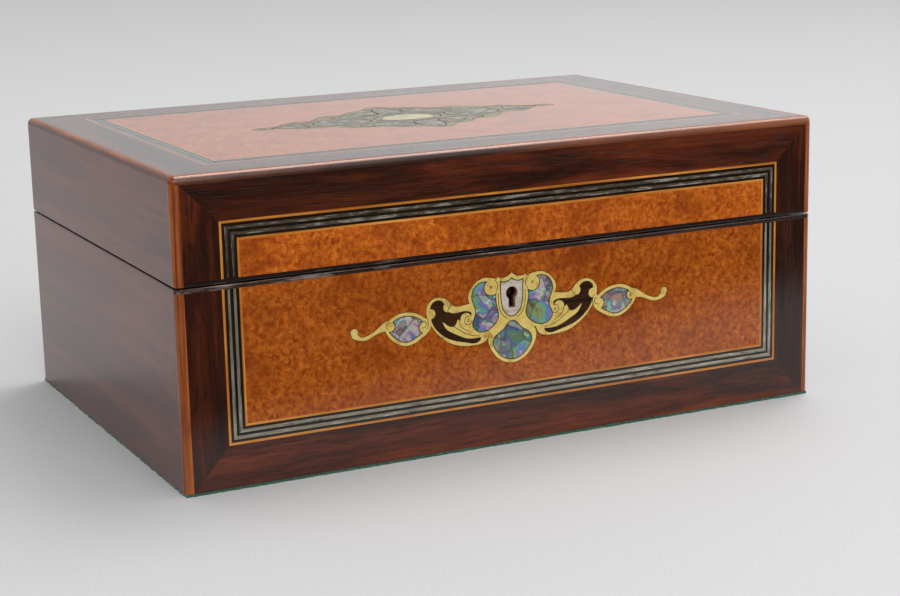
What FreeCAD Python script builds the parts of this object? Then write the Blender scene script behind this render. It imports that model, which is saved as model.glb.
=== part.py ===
"""A wind-up musical box: a veneered case with a locking hinged lid and a cylinder movement in it.

Millimetres. +Z is up, +X runs along the front from left to right and the front faces -Y. The origin
is the middle of the underside, on the surface that the box stands on.
"""

import FreeCAD
import Part
import Sketcher
import math
import os
import re

from FreeCAD import Placement, Rotation, Vector

# Driving dimensions, one spreadsheet cell each

DIMENSIONS = {
    # the case
    "case_width": 300.0,
    "case_depth": 209.0,
    "base_height": 84.0,
    "lid_height": 43.7,
    "lid_gap": 0.6,
    "baize_thickness": 1.2,
    "baize_inset": 0.8,
    "board_thickness": 8.0,
    "bottom_thickness": 8.0,
    "veneer_thickness": 1.0,
    "edging_width": 3.5,
    "edging_round": 2.6,
    "rim_round": 0.5,
    "lipping_height": 1.8,
    # the framing on the front and on the lid
    "front_band": 15.5,
    "foot_band": 17.5,
    "top_band": 18.5,
    "box_line": 1.0,
    "ebony_line": 1.1,
    "pewter_line": 1.4,
    # the inlays
    "keyhole_from_rim": 19.7,
    "keyhole_offset": -3.0,
    "keyhole_radius": 2.5,
    "keyhole_slot": 2.6,
    "keyhole_drop": 4.6,
    "keyhole_eye_rise": 1.4,
    "inlay_scale": 1.0,
    "left_hand_reach": 0.965,
    "lid_inlay_scale": 1.0,
    # the lock
    "lock_width": 50.0,
    "lock_height": 32.0,
    "lock_depth": 6.0,
    "lock_wall": 1.2,
    "lock_ear": 5.0,
    "key_pin_radius": 1.1,
    "bolt_height": 5.0,
    "bolt_thickness": 1.8,
    "bolt_travel": 5.0,
    "finger_height": 2.6,
    "hook_spacing": 20.0,
    "hook_width": 5.0,
    "hook_thickness": 3.4,
    "hook_length": 9.0,
    "link_plate_thickness": 1.5,
    "lock_play": 0.35,
    "slot_play": 0.6,
    # the hinges
    "hinge_length": 45.0,
    "hinge_spacing": 170.0,
    "hinge_leaf": 1.2,
    "knuckle_radius": 2.0,
    "knuckle_gap": 0.2,
    "hinge_pin_radius": 1.0,
    # the movement's bed and brackets
    "bed_foot_height": 6.0,
    "bed_foot_radius": 8.0,
    "bed_thickness": 5.0,
    "bed_front_margin": 11.0,
    "bed_back_margin": 4.0,
    "bed_end_margin": 1.0,
    "bracket_thickness": 5.0,
    "bracket_radius": 9.0,
    "cylinder_y": 20.0,
    "axis_clearance": 1.2,
    # the cylinder and comb
    "cylinder_left": -46.0,
    "cylinder_length": 110.0,
    "cylinder_radius": 21.5,
    "cylinder_wall": 1.4,
    "cylinder_end": 3.0,
    "cylinder_arbor_radius": 3.0,
    "journal_radius": 2.5,
    "pin_radius": 0.3,
    "pin_length": 0.9,
    "pins_per_tooth": 6.0,
    "comb_teeth": 44.0,
    "comb_length": 46.0,
    "comb_heel": 18.0,
    "comb_thickness": 4.0,
    "tooth_root": 2.4,
    "tooth_tip": 1.0,
    "tooth_gap": 0.7,
    "comb_pin_gap": 0.35,
    "comb_end_margin": 2.0,
    # the wheels
    "barrel_teeth": 60.0,
    "drive_teeth": 40.0,
    "barrel_module": 0.8,
    "great_teeth": 72.0,
    "first_pinion_teeth": 12.0,
    "great_module": 0.65,
    "first_teeth": 48.0,
    "second_pinion_teeth": 12.0,
    "first_module": 0.5,
    "second_teeth": 24.0,
    "screw_module": 0.5,
    "screw_starts": 2.0,
    "screw_radius": 1.8,
    "backlash": 0.1,
    "drive_wheel_width": 4.0,
    "great_wheel_width": 3.0,
    "great_hub_radius": 7.0,
    "first_wheel_width": 1.5,
    "second_wheel_width": 0.8,
    "wheel_gap": 3.0,
    # the spring barrel and the winding lever
    "barrel_length": 32.0,
    "barrel_radius": 22.0,
    "barrel_wall": 1.6,
    "barrel_arbor_radius": 3.5,
    "arbor_head_radius": 5.0,
    "spring_core_radius": 6.0,
    "spring_strip": 0.5,
    "spring_pitch": 1.1,
    "spring_turns": 9.0,
    "ratchet_radius": 14.0,
    "ratchet_teeth": 24.0,
    "ratchet_width": 4.0,
    "lever_width": 7.0,
    "lever_thickness": 3.5,
    "lever_length": 44.0,
    "lever_hub_radius": 8.5,
    "pawl_pin_radius": 1.2,
    "tang_radius": 1.6,
    "tang_length": 12.0,
    "knob_length": 20.0,
    "knob_radius": 6.0,
    # the governor and the stop lever
    "governor_wall": 3.0,
    "governor_span": 22.0,
    "second_drop": 5.0,
    "cock_width": 8.0,
    "pivot_radius": 1.0,
    "fly_pivot_radius": 0.8,
    "fly_stem_radius": 1.2,
    "fly_radius": 10.0,
    "fly_height": 9.0,
    "fly_sheet": 0.4,
    "stop_rod_radius": 2.0,
    "stop_thickness": 3.0,
    "stop_grip_radius": 4.5,
    "stop_arm_length": 14.0,
    "stop_handle_length": 30.0,
    # the inner fittings and fits
    "partition_thickness": 5.0,
    "partition_gap": 1.0,
    "cover_thickness": 6.0,
    "cover_member": 12.0,
    "cover_gap": 0.4,
    "glass_thickness": 2.0,
    "glass_tongue": 4.0,
    "cover_clearance": 2.0,
    "running_fit": 0.05,
    "seat_fit": 0.02,
    "side_play": 0.4,
    "stop_peg_radius": 2.0,
    "stop_peg_gap": 0.3,
    "screw_shank": 1.5,
    "screw_head": 3.0,
    "small_shank": 1.0,
    "small_head": 1.6,
}

# Places and sizes that follow from the driving ones

DERIVED = {
    "outer_x": "case_width / 2",
    "outer_y": "case_depth / 2",
    "board_x": "outer_x - veneer_thickness",
    "board_y": "outer_y - veneer_thickness",
    "inner_x": "board_x - board_thickness",
    "inner_y": "board_y - board_thickness",
    "edging_x": "outer_x - edging_width",
    "edging_y": "outer_y - edging_width",
    "floor_z": "baize_thickness + bottom_thickness",
    "rim_z": "base_height - lipping_height",
    "lid_z": "base_height + lid_gap",
    "lid_rim_z": "lid_z + lipping_height",
    "top_z": "lid_z + lid_height",
    "lid_board_z": "top_z - veneer_thickness",
    "lid_ceiling_z": "lid_board_z - board_thickness",
    "keyhole_z": "base_height - keyhole_from_rim",
    "lock_top": "base_height - hinge_leaf",
    "lock_low": "base_height - lock_height",
    "lock_front": "lock_depth + inner_y",
    "hook_z": "lid_z - hook_length",
    "bolt_top": "hook_z - 2",
    "bolt_y": "inner_y + lock_depth / 2",
    "finger_z": "hook_z + 1.2",
    "hinge_z": "base_height + lid_gap / 2",
    "bed_low": "floor_z + bed_foot_height",
    "bed_top": "bed_low + bed_thickness",
    "great_tip": "great_teeth * great_module / 2 + 0.8 * great_module",
    "barrel_tip": "barrel_teeth * barrel_module / 2 + 0.8 * barrel_module",
    "pin_circle": "cylinder_radius + pin_length",
    "axis_z": "bed_top + max(great_tip; barrel_tip; pin_circle) + axis_clearance",
    "barrel_y": "cylinder_y - (barrel_teeth + drive_teeth) * barrel_module / 2",
    "first_y": "cylinder_y - (great_teeth + first_pinion_teeth) * great_module / 2",
    "second_span": "(first_teeth + second_pinion_teeth) * first_module / 2",
    "second_y": "first_y - sqrt(second_span * second_span - second_drop * second_drop)",
    "second_z": "axis_z - second_drop",
    "fly_y": "second_y - second_teeth * screw_module / 2 - screw_radius",
    "cylinder_right": "cylinder_left + cylinder_length",
    "bridge_right": "cylinder_left - bracket_thickness + 1",
    "bridge_left": "bridge_right - bracket_thickness",
    "drive_right": "bridge_left - wheel_gap",
    "drive_left": "drive_right - drive_wheel_width",
    "barrel_left": "drive_left - barrel_length",
    "bracket_right": "barrel_left - 2",
    "bracket_left": "bracket_right - bracket_thickness",
    "great_left": "cylinder_right + 2",
    "great_right": "great_left + great_wheel_width",
    "bearing_left": "great_right + bracket_thickness",
    "bearing_right": "bearing_left + bracket_thickness",
    "governor_left": "great_right + 4",
    "governor_inner_left": "governor_left + governor_wall",
    "governor_inner_right": "governor_inner_left + governor_span",
    "governor_right": "governor_inner_right + governor_wall",
    "fly_x": "governor_inner_left + 14",
    "first_wheel_left": "governor_inner_left + 6",
    "bed_left": "bracket_left - bed_end_margin",
    "bed_right": "governor_right + bed_end_margin + 2",
    "bed_back": "cylinder_y + pin_circle + bed_back_margin",
    "left_wall_right": "bed_left - partition_gap",
    "left_wall_left": "left_wall_right - partition_thickness",
    "right_wall_left": "bed_right + partition_gap",
    "right_wall_right": "right_wall_left + partition_thickness",
    "ratchet_right": "left_wall_left - 3.5",
    "ratchet_left": "ratchet_right - ratchet_width",
    "lever_right": "ratchet_left - side_play",
    "lever_left": "lever_right - lever_thickness",
    "arbor_left": "lever_left - 3",
    "comb_top": "axis_z + 0.8",
    "comb_tip": "cylinder_y - pin_circle - comb_pin_gap",
    "comb_back": "comb_tip - comb_length",
    "comb_under": "comb_top - comb_thickness",
    "comb_left": "cylinder_left + comb_end_margin",
    "comb_right": "cylinder_right - comb_end_margin",
    "tooth_pitch": "(comb_right - comb_left) / comb_teeth",
    "comb_base_front": "comb_back - 2",
    "comb_base_back": "comb_back + comb_heel",
    "bed_front": "comb_base_front - bed_front_margin",
    "fly_low": "axis_z + 7",
    "cock_low": "fly_low + fly_height + 3",
    "cock_top": "cock_low + 3",
    "riser_back": "fly_y - fly_radius - 5",
    "riser_front": "riser_back - 5",
    "cover_low": "max(cock_top; axis_z + barrel_tip) + cover_clearance",
    "cover_top": "cover_low + cover_thickness",
    "stop_y": "fly_y - fly_radius - 3",
    "stop_z": "fly_low + fly_height / 2 - stop_arm_length",
    "stop_arm_left": "governor_inner_right - 4",
}

PRESSURE_ANGLE = math.radians(25)
ADDENDUM = 0.8
DEDENDUM = 1.05

doc = FreeCAD.newDocument("musical_box")
sheet = doc.addObject("Spreadsheet::Sheet", "dims")
for row, (alias, value) in enumerate(DIMENSIONS.items(), start=1):
    sheet.set(f"A{row}", alias)
    sheet.set(f"B{row}", str(value))
    sheet.setAlias(f"B{row}", alias)
doc.recompute()

NODES = {}
WORD = re.compile(r"[a-z_][a-z_0-9]*")


def bound(formula):
    """A formula with its derived names written out and every cell named with its sheet."""

    def swap(match):
        word = match.group(0)
        if word in DERIVED:
            return "(" + bound(DERIVED[word]) + ")"
        return "dims." + word if word in DIMENSIONS else word

    return WORD.sub(swap, str(formula))


def size(formula):
    """A formula's value in millimetres."""
    return float(sheet.evalExpression(bound(formula)))


def node(label, thing):
    """Names a finished sub-part, whose label is its file's name."""
    thing.Label = label
    NODES[label] = thing
    return thing


# Blocks, rods and joined shapes

ALONG = {"x": Rotation(Vector(0, 1, 0), 90), "y": Rotation(Vector(1, 0, 0), -90), "z": Rotation()}


def place(thing, x, y, z):
    for axis, formula in zip("xyz", (x, y, z)):
        thing.setExpression(f"Placement.Base.{axis}", bound(formula))
    return thing


def block(name, x, y, z):
    """A block between two places along each axis."""
    made = doc.addObject("Part::Box", name)
    for side, (low, high) in zip(("Length", "Width", "Height"), (x, y, z)):
        made.setExpression(side, bound(f"({high}) - ({low})"))
    return place(made, x[0], y[0], z[0])


def rod(name, axis, radius, start, end, at):
    """A round rod along an axis, from start to end on it, at two places on the other two axes."""
    made = doc.addObject("Part::Cylinder", name)
    made.Placement = Placement(Vector(), ALONG[axis])
    made.setExpression("Radius", bound(radius))
    made.setExpression("Height", bound(f"({end}) - ({start})"))
    spots = list(at)
    spots.insert("xyz".index(axis), start)
    return place(made, *spots)


def joined(name, *shapes):
    made = doc.addObject("Part::MultiFuse", name)
    made.Shapes = list(shapes)
    return made


def group(name, shapes):
    made = doc.addObject("Part::Compound", name)
    made.Links = list(shapes)
    return made


def less(name, base, *tools):
    """The base with the tools cut out of it."""
    made = doc.addObject("Part::Cut", name)
    made.Base = base
    made.Tool = tools[0] if len(tools) == 1 else group(name + "_tools", tools)
    return made


def shared(name, base, tool):
    made = doc.addObject("Part::Common", name)
    made.Base = base
    made.Tool = tool
    return made


def feature(name, shape, placement=None):
    made = doc.addObject("Part::Feature", name)
    made.Shape = shape
    made.Placement = placement or Placement()
    return made


# Bodies made from sketches


def sketch_on(body, role, name):
    sketch = body.newObject("Sketcher::SketchObject", name)
    plane = next(f for f in body.Origin.OriginFeatures if f.Role == role)
    sketch.AttachmentSupport = (plane, [""])
    sketch.MapMode = "FlatFace"
    return sketch


def pin_point(sketch, index, end, point):
    """Ties one point of a sketch to a pair of formulas."""
    for kind, formula in zip(("DistanceX", "DistanceY"), point):
        number = sketch.addConstraint(Sketcher.Constraint(kind, -1, 1, index, end, size(formula)))
        sketch.setExpression(f"Constraints[{number}]", bound(formula))


def outline(sketch, points):
    """A closed outline of straight lines through points given as pairs of formulas."""
    spots = [Vector(size(a), size(b), 0) for a, b in points]
    first = sketch.GeometryCount
    count = len(points)
    for i in range(count):
        sketch.addGeometry(Part.LineSegment(spots[i], spots[(i + 1) % count]))
    for i in range(count):
        following = first + (i + 1) % count
        sketch.addConstraint(Sketcher.Constraint("Coincident", first + i, 2, following, 1))
    for i, point in enumerate(points):
        pin_point(sketch, first + i, 1, point)


def padded(name, role, points, length, at):
    """A body padded from one closed outline."""
    body = doc.addObject("PartDesign::Body", name)
    sketch = sketch_on(body, role, name + "_outline")
    outline(sketch, points)
    pad = body.newObject("PartDesign::Pad", name + "_pad")
    pad.Profile = sketch
    pad.setExpression("Length", bound(length))
    place(body, *at)
    return body


def turned(name, axis, points, at):
    """A body turned about X or Z from an outline of (along the axis, radius) points."""
    body = doc.addObject("PartDesign::Body", name)
    sketch = sketch_on(body, "XZ_Plane", name + "_outline")
    outline(sketch, points if axis == "x" else [(radius, along) for along, radius in points])
    spin = body.newObject("PartDesign::Revolution", name + "_turn")
    spin.Profile = sketch
    spin.ReferenceAxis = (sketch, ["H_Axis" if axis == "x" else "V_Axis"])
    spin.Angle = 360
    place(body, *at)
    return body


# Mitred strips of veneer and stringing

FACES = {
    # the right and up directions of the two framed faces
    "front": (Vector(1, 0, 0), Vector(0, 0, 1)),
    "top": (Vector(1, 0, 0), Vector(0, 1, 0)),
}
RUNS = ("bottom", "right", "top", "left")


def turn_to(run, face):
    """The rotation that lays a strip along one run of a frame, its width pointing inward."""
    right, up = FACES[face]
    along, across = {
        "bottom": (right, up),
        "top": (-right, -up),
        "left": (-up, right),
        "right": (up, -right),
    }[run]
    out = along.cross(across)
    return Rotation(along, across, out, "XYZ")


def framed(name, face, edges, level, insets, widths, thickness="veneer_thickness"):
    """Mitred strips round the runs named in widths; runs without a width are left open.

    edges holds the rectangle's formulas by run, level is where the strips' inner faces lie.
    """
    inset = {run: insets.get(run, "0") for run in RUNS}
    low = {
        "left": f"({edges['left']}) + ({inset['left']})",
        "right": f"({edges['right']}) - ({inset['right']})",
        "bottom": f"({edges['bottom']}) + ({inset['bottom']})",
        "top": f"({edges['top']}) - ({inset['top']})",
    }
    before = {"bottom": "left", "top": "right", "left": "top", "right": "bottom"}
    after = {"bottom": "right", "top": "left", "left": "bottom", "right": "top"}
    corner = {
        "bottom": ("left", "bottom"),
        "top": ("right", "top"),
        "left": ("left", "top"),
        "right": ("right", "bottom"),
    }
    strips = []
    for run, width in widths.items():
        flat = run in ("bottom", "top")
        ends = ("left", "right") if flat else ("bottom", "top")
        length = f"({low[ends[1]]}) - ({low[ends[0]]})"
        strip = doc.addObject("Part::Wedge", f"{name}_{run}")
        strip.Placement = Placement(Vector(), turn_to(run, face))
        for cell in ("Xmin", "Ymin", "Zmin", "Z2min"):
            setattr(strip, cell, 0)
        strip.setExpression("Xmax", bound(length))
        strip.setExpression("Ymax", bound(width))
        strip.setExpression("Zmax", bound(thickness))
        strip.setExpression("Z2max", bound(thickness))
        strip.setExpression("X2min", bound(widths.get(before[run], "0")))
        strip.setExpression("X2max", bound(f"({length}) - ({widths.get(after[run], '0')})"))
        side, rise = (low[edge] for edge in corner[run])
        place(strip, side, *((level, rise) if face == "front" else (rise, level)))
        strips.append(strip)
    return strips


# The case's carcass: boards, corner edging and rim lippings

corner_blocks = []
for sx, sy in ((-1, -1), (1, -1), (1, 1), (-1, 1)):
    spans = []
    for sign, inner, outer in ((sx, "edging_x", "outer_x"), (sy, "edging_y", "outer_y")):
        spans.append((inner, outer) if sign > 0 else (f"-{outer}", f"-{inner}"))
    corner_blocks.append(spans)


def corner_posts(name, low, high):
    """The four square corner strips, before their outer edges are rounded."""
    return [block(f"{name}_{i}", x, y, (low, high)) for i, (x, y) in enumerate(corner_blocks)]


def rounded_envelope(name, low, high, rounded_end, eased_end):
    """The outside of the base or lid, with rounded corners, one rounded end and one eased end."""
    whole = block(name + "_block", ("-outer_x", "outer_x"), ("-outer_y", "outer_y"), (low, high))
    doc.recompute()

    def edges_at(shape, test):
        return [i for i, edge in enumerate(shape.Edges, 1) if test(edge)]

    def level(edge, formula):
        return all(abs(v.Point.z - size(formula)) < 1e-6 for v in edge.Vertexes)

    radius = size("edging_round")
    softened = doc.addObject("Part::Fillet", name + "_rounded")
    softened.Base = whole
    wanted = edges_at(
        whole.Shape,
        lambda edge: abs(edge.Vertexes[0].Z - edge.Vertexes[1].Z) > 1
        or (rounded_end is not None and level(edge, rounded_end)),
    )
    softened.Edges = [(i, radius, radius) for i in wanted]
    doc.recompute()
    eased = doc.addObject("Part::Fillet", name)
    eased.Base = softened
    ease = size("rim_round")
    eased.Edges = [(i, ease, ease) for i in edges_at(softened.Shape, lambda edge: level(edge, eased_end))]
    return eased


base_envelope = rounded_envelope("base_envelope", "baize_thickness", "base_height", None, "base_height")
lid_envelope = rounded_envelope("lid_envelope", "lid_z", "top_z", "top_z", "lid_z")

OUTER_PLAN = {"left": "-outer_x", "right": "outer_x", "bottom": "-outer_y", "top": "outer_y"}
ALL_ROUND = {run: "board_thickness + veneer_thickness" for run in RUNS}

base_posts = corner_posts("base_post", "baize_thickness", "rim_z")
lid_posts = corner_posts("lid_post", "lid_z", "top_z - edging_width")

node("base_corner_edging", group("base_corner_edging", [
    shared(f"base_edging_{i}", post, base_envelope) for i, post in enumerate(base_posts)
]))

EDGING_ROUND_TOP = {run: "edging_width" for run in RUNS}
lid_top_strips = framed(
    "lid_top_strip", "top", OUTER_PLAN, "top_z - edging_width", {}, EDGING_ROUND_TOP, "edging_width"
)
node("lid_edging", group("lid_edging", [
    shared(f"lid_edging_{i}", strip, lid_envelope) for i, strip in enumerate(lid_posts + lid_top_strips)
]))

base_lipping = [
    shared(f"{strip.Name}_eased", strip, base_envelope)
    for strip in framed("base_lipping", "top", OUTER_PLAN, "rim_z", {}, ALL_ROUND, "lipping_height")
]
lid_lipping = [
    less(f"{strip.Name}_fitted", shared(f"{strip.Name}_eased", strip, lid_envelope), *lid_posts)
    for strip in framed("lid_lipping", "top", OUTER_PLAN, "lid_z", {}, ALL_ROUND, "lipping_height")
]


def walls(name, low, high):
    """Front, back, left and right boards between two heights."""
    z = (low, high)
    long_way = ("-board_x", "board_x")
    short_way = ("-inner_y", "inner_y")
    return {
        "front": block(name + "_front", long_way, ("-board_y", "-inner_y"), z),
        "back": block(name + "_back", long_way, ("inner_y", "board_y"), z),
        "left": block(name + "_left", ("-board_x", "-inner_x"), short_way, z),
        "right": block(name + "_right", ("inner_x", "board_x"), short_way, z),
    }


base_boards = walls("base_wall", "baize_thickness", "rim_z")
lid_boards = walls("lid_wall", "lid_rim_z", "lid_ceiling_z")


def plain_veneers(name, z):
    """The left, right and back veneers, between the corner strips."""
    short_way = ("-edging_y", "edging_y")
    return [
        block(name + "_left_veneer", ("-outer_x", "-board_x"), short_way, z),
        block(name + "_right_veneer", ("board_x", "outer_x"), short_way, z),
        block(name + "_back_veneer", ("-edging_x", "edging_x"), ("board_y", "outer_y"), z),
    ]


base_side_veneers = plain_veneers("base", ("baize_thickness", "rim_z"))
lid_side_veneers = plain_veneers("lid", ("lid_rim_z", "top_z - edging_width"))

node("baize", block(
    "baize", ("baize_inset - outer_x", "outer_x - baize_inset"),
    ("baize_inset - outer_y", "outer_y - baize_inset"), ("0", "baize_thickness"),
))
bottom_blank = block(
    "bottom_blank", ("-inner_x", "inner_x"), ("-inner_y", "inner_y"), ("baize_thickness", "floor_z")
)
lid_top_blank = block(
    "lid_top_blank", ("-board_x", "board_x"), ("-board_y", "board_y"), ("lid_ceiling_z", "lid_board_z")
)

# Bandings and stringing on the front and on the lid

BASE_FRONT = {"left": "-edging_x", "right": "edging_x", "bottom": "baize_thickness", "top": "rim_z"}
LID_FRONT = {"left": "-edging_x", "right": "edging_x", "bottom": "lid_rim_z", "top": "top_z - edging_width"}
LID_TOP = {"left": "-edging_x", "right": "edging_x", "bottom": "-edging_y", "top": "edging_y"}

LINES = ("box_line", "ebony_line", "pewter_line", "ebony_line", "pewter_line", "ebony_line", "box_line")


def frame_up(name, face, edges, level, bands):
    """A banding and its seven lines of stringing, sorted by the wood or metal of each."""
    sorted_strips = {"band": framed(name + "_band", face, edges, level, {}, bands)}
    insets = dict(bands)
    for i, line in enumerate(LINES):
        strips = framed(f"{name}_line_{i}", face, edges, level, insets, {run: line for run in bands})
        sorted_strips.setdefault(line, []).extend(strips)
        insets = {run: f"{inset} + {line}" for run, inset in insets.items()}
    return sorted_strips, insets


BASE_BANDS = {"left": "front_band", "bottom": "foot_band", "right": "front_band"}
LID_BANDS = {"left": "front_band", "top": "front_band", "right": "front_band"}
TOP_BANDS = {run: "top_band" for run in RUNS}
base_frame, base_insets = frame_up("base_front", "front", BASE_FRONT, "-board_y", BASE_BANDS)
lid_frame, lid_insets = frame_up("lid_front", "front", LID_FRONT, "-board_y", LID_BANDS)
top_frame, top_insets = frame_up("lid_top", "top", LID_TOP, "lid_board_z", TOP_BANDS)

for line in ("box_line", "ebony_line", "pewter_line"):
    wood = line.split("_")[0]
    node(f"base_{wood}_stringing", group(f"base_{wood}_stringing", base_frame[line]))
    node(f"lid_{wood}_stringing", group(f"lid_{wood}_stringing", lid_frame[line] + top_frame[line]))


def panel(name, face, edges, insets):
    """The burr panel inside a frame."""
    inward = {"left": "+", "bottom": "+", "right": "-", "top": "-"}
    span = {run: f"({edges[run]}) {inward[run]} ({insets.get(run, '0')})" for run in RUNS}
    across = (span["left"], span["right"])
    rise = (span["bottom"], span["top"])
    if face == "front":
        return block(name, across, ("-outer_y", "-board_y"), rise)
    return block(name, across, rise, ("lid_board_z", "top_z"))


base_panel_blank = panel("base_panel_blank", "front", BASE_FRONT, base_insets)
node("lid_front_panel", panel("lid_front_panel", "front", LID_FRONT, lid_insets))
top_panel_blank = panel("top_panel_blank", "top", LID_TOP, top_insets)

# Scroll inlay round the keyhole: right-hand outlines, in millimetres from the keyhole

TAIL = [
    (58.4, -3.4), (61.0, -3.8), (64.4, -6.1), (68.6, -8.3), (72.4, -8.5), (74.3, -7.0),
    (76.4, -8.0), (73.2, -10.3), (68.2, -10.2), (63.2, -8.2), (58.6, -6.6),
]
LENS = [
    (39.6, -7.6), (43.5, -3.2), (50.5, -0.9), (57.5, -2.4), (61.0, -6.4), (58.5, -11.6),
    (51.0, -15.3), (43.5, -12.8),
]
LENS_WINDOW = [
    (41.6, -7.6), (45.0, -4.4), (50.5, -2.6), (56.5, -4.0), (59.2, -6.8), (57.0, -10.6),
    (51.0, -13.6), (45.0, -11.4),
]
LENS_BALLS = [((42.4, -8.3), 2.5), ((58.4, -6.2), 2.2)]
FIELD = [
    (15.0, -1.4), (21.0, -0.7), (28.6, -0.6), (31.0, 1.8), (35.0, 3.6), (39.4, 2.4), (41.5, -1.2),
    (41.0, -5.0), (38.8, -9.2), (34.5, -14.0), (28.0, -17.8), (20.5, -19.1), (13.0, -17.8),
    (11.0, -9.0),
]
FIELD_WINDOW = [
    (20.4, -4.6), (24.5, -4.0), (29.6, -4.0), (32.6, -1.0), (33.4, 1.0), (36.0, 2.1), (38.8, 0.7),
    (39.4, -3.0), (38.4, -7.4), (35.4, -11.4), (29.5, -15.2), (22.0, -17.3), (16.6, -17.4),
    (15.6, -16.4), (17.4, -14.6), (20.2, -11.0), (20.6, -7.2),
]
FIELD_BALLS = [((31.2, -1.2), 2.2), ((39.3, -3.2), 2.3), ((22.6, -7.1), 2.7)]
SPRAY = [
    (17.0, -12.6), (20.6, -8.4), (24.4, -8.0), (26.4, -6.8), (27.8, -9.0), (30.6, -9.2),
    (33.9, -7.0), (33.0, -9.4), (29.2, -12.5), (24.0, -15.1), (18.0, -16.1), (14.0, -15.6),
]
SIDE = [
    (3.0, 5.6), (9.0, 8.8), (15.2, 9.0), (19.4, 6.2), (21.5, 2.2), (20.4, -2.0), (20.0, -6.0),
    (21.6, -10.0), (19.0, -14.2), (13.6, -15.4), (8.6, -13.4), (4.0, -9.4), (2.0, -6.0),
    (2.0, 0.0),
]
SIDE_WINDOW = [
    (8.0, 5.6), (12.0, 7.4), (16.2, 7.0), (18.8, 4.6), (19.6, 1.4), (18.4, -2.4), (18.0, -6.0),
    (19.4, -9.8), (17.6, -12.8), (13.4, -13.6), (9.4, -11.8), (6.8, -8.6), (7.6, -3.0), (7.9, 1.0),
]
SIDE_BALLS = [((9.9, 4.7), 3.5)]
KNOTS = [((75.1, -6.6), 1.8), ((40.0, -6.2), 2.4)]

# Outlines that cross the middle are given down their right side, from the top to the bottom
DROP = [
    (0.0, -7.6), (3.4, -8.2), (7.0, -12.0), (11.0, -15.0), (11.6, -18.6), (9.8, -23.0),
    (6.0, -27.0), (0.0, -28.9),
]
DROP_WINDOW = [
    (0.0, -10.6), (1.6, -11.0), (4.0, -13.6), (8.2, -16.6), (9.2, -18.9), (7.8, -22.6),
    (4.6, -25.8), (0.0, -27.2),
]
SHIELD_CREST = [(0.0, 10.4), (3.4, 8.5), (7.2, 9.2)]
SHIELD_SIDE = [(7.2, 9.2), (7.0, 4.0), (6.8, -2.0), (5.6, -6.4), (3.2, -9.2), (0.0, -10.2)]
SHIELD_WINDOW_CREST = [(0.0, 7.8), (2.6, 6.5), (5.4, 6.9)]
SHIELD_WINDOW_SIDE = [(5.4, 6.9), (5.3, 3.0), (5.0, -2.4), (3.9, -6.0), (2.0, -8.0), (0.0, -8.7)]


def curve(points, closed):
    made = Part.BSplineCurve()
    made.interpolate([Vector(x, y, 0) for x, y in points], PeriodicFlag=closed)
    return made.toShape()


def spread(points, reach):
    """Points stretched along each axis; a negative stretch mirrors them."""
    return [(x * reach[0], y * reach[1]) for x, y in points]


def slab(edges, thickness):
    """A flat piece of one closed outline."""
    face = Part.Face(Part.Wire(Part.__sortEdges__(edges)))
    return face.extrude(Vector(0, 0, thickness))


def whole_slab(points, reach, thickness):
    return slab([curve(spread(points, reach), True)], thickness)


def mirrored_slab(halves, scale, thickness):
    """A flat piece from open outlines down its right side, mirrored to the left."""
    edges = [curve(spread(half, (side * scale, scale)), False) for half in halves for side in (1, -1)]
    return slab(edges, thickness)


def disc(centre, radius, reach, thickness):
    [spot] = spread([centre], reach)
    return Part.makeCylinder(radius * reach[1], thickness, Vector(*spot, 0))


def together(shapes):
    """One shape from shapes that overlap or touch."""
    return shapes[0].multiFuse(shapes[1:]).removeSplitter()


def front_inlay():
    """The silhouette, the brass, and the pieces that fill its windows."""
    scale = size("inlay_scale")
    thick = size("veneer_thickness")
    hands = ((scale, scale), (-scale * size("left_hand_reach"), scale))

    def window(points, balls, reach, extra=()):
        solid = whole_slab(points, reach, thick)
        return solid.cut([disc(c, r, reach, thick) for c, r in balls] + list(extra))

    silhouette = [
        mirrored_slab([DROP], scale, thick),
        mirrored_slab([SHIELD_CREST, SHIELD_SIDE], scale, thick),
    ]
    shell = [mirrored_slab([DROP_WINDOW], scale, thick)]
    dark = []
    for reach in hands:
        silhouette += [whole_slab(points, reach, thick) for points in (TAIL, LENS, FIELD, SIDE)]
        silhouette += [disc(centre, radius, reach, thick) for centre, radius in KNOTS]
        shell.append(window(LENS_WINDOW, LENS_BALLS, reach))
        shell.append(window(SIDE_WINDOW, SIDE_BALLS, reach))
        dark.append(window(FIELD_WINDOW, FIELD_BALLS, reach, [whole_slab(SPRAY, reach, thick)]))
    outside = together(silhouette)
    shield = mirrored_slab([SHIELD_WINDOW_CREST, SHIELD_WINDOW_SIDE], scale, thick)
    brass = outside.cut(shell + dark + [shield])
    return outside, brass, Part.makeCompound(shell), Part.makeCompound(dark), shield


keyhole_through = ("-outer_y - 1", "-inner_y - lock_wall")
keyhole_eye = ("keyhole_offset", "keyhole_z + keyhole_eye_rise")
keyhole_tool = joined(
    "keyhole_tool",
    rod("keyhole_round", "y", "keyhole_radius", *keyhole_through, keyhole_eye),
    block(
        "keyhole_long", ("keyhole_offset - keyhole_slot / 2", "keyhole_offset + keyhole_slot / 2"),
        keyhole_through, ("keyhole_z - keyhole_drop", keyhole_eye[1]),
    ),
)
front_spot = Placement(
    Vector(size("keyhole_offset"), -size("board_y"), size("keyhole_z")), Rotation(Vector(1, 0, 0), 90)
)
outside, brass, shell, dark, shield = front_inlay()
front_recess = feature("front_recess", outside, front_spot)
node("base_front_panel", less("base_front_panel", base_panel_blank, front_recess))
node("front_inlay_brass", feature("front_inlay_brass", brass, front_spot))
node("front_inlay_abalone", feature("front_inlay_abalone", shell, front_spot))
node("front_inlay_ebony", feature("front_inlay_ebony", dark, front_spot))
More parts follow.
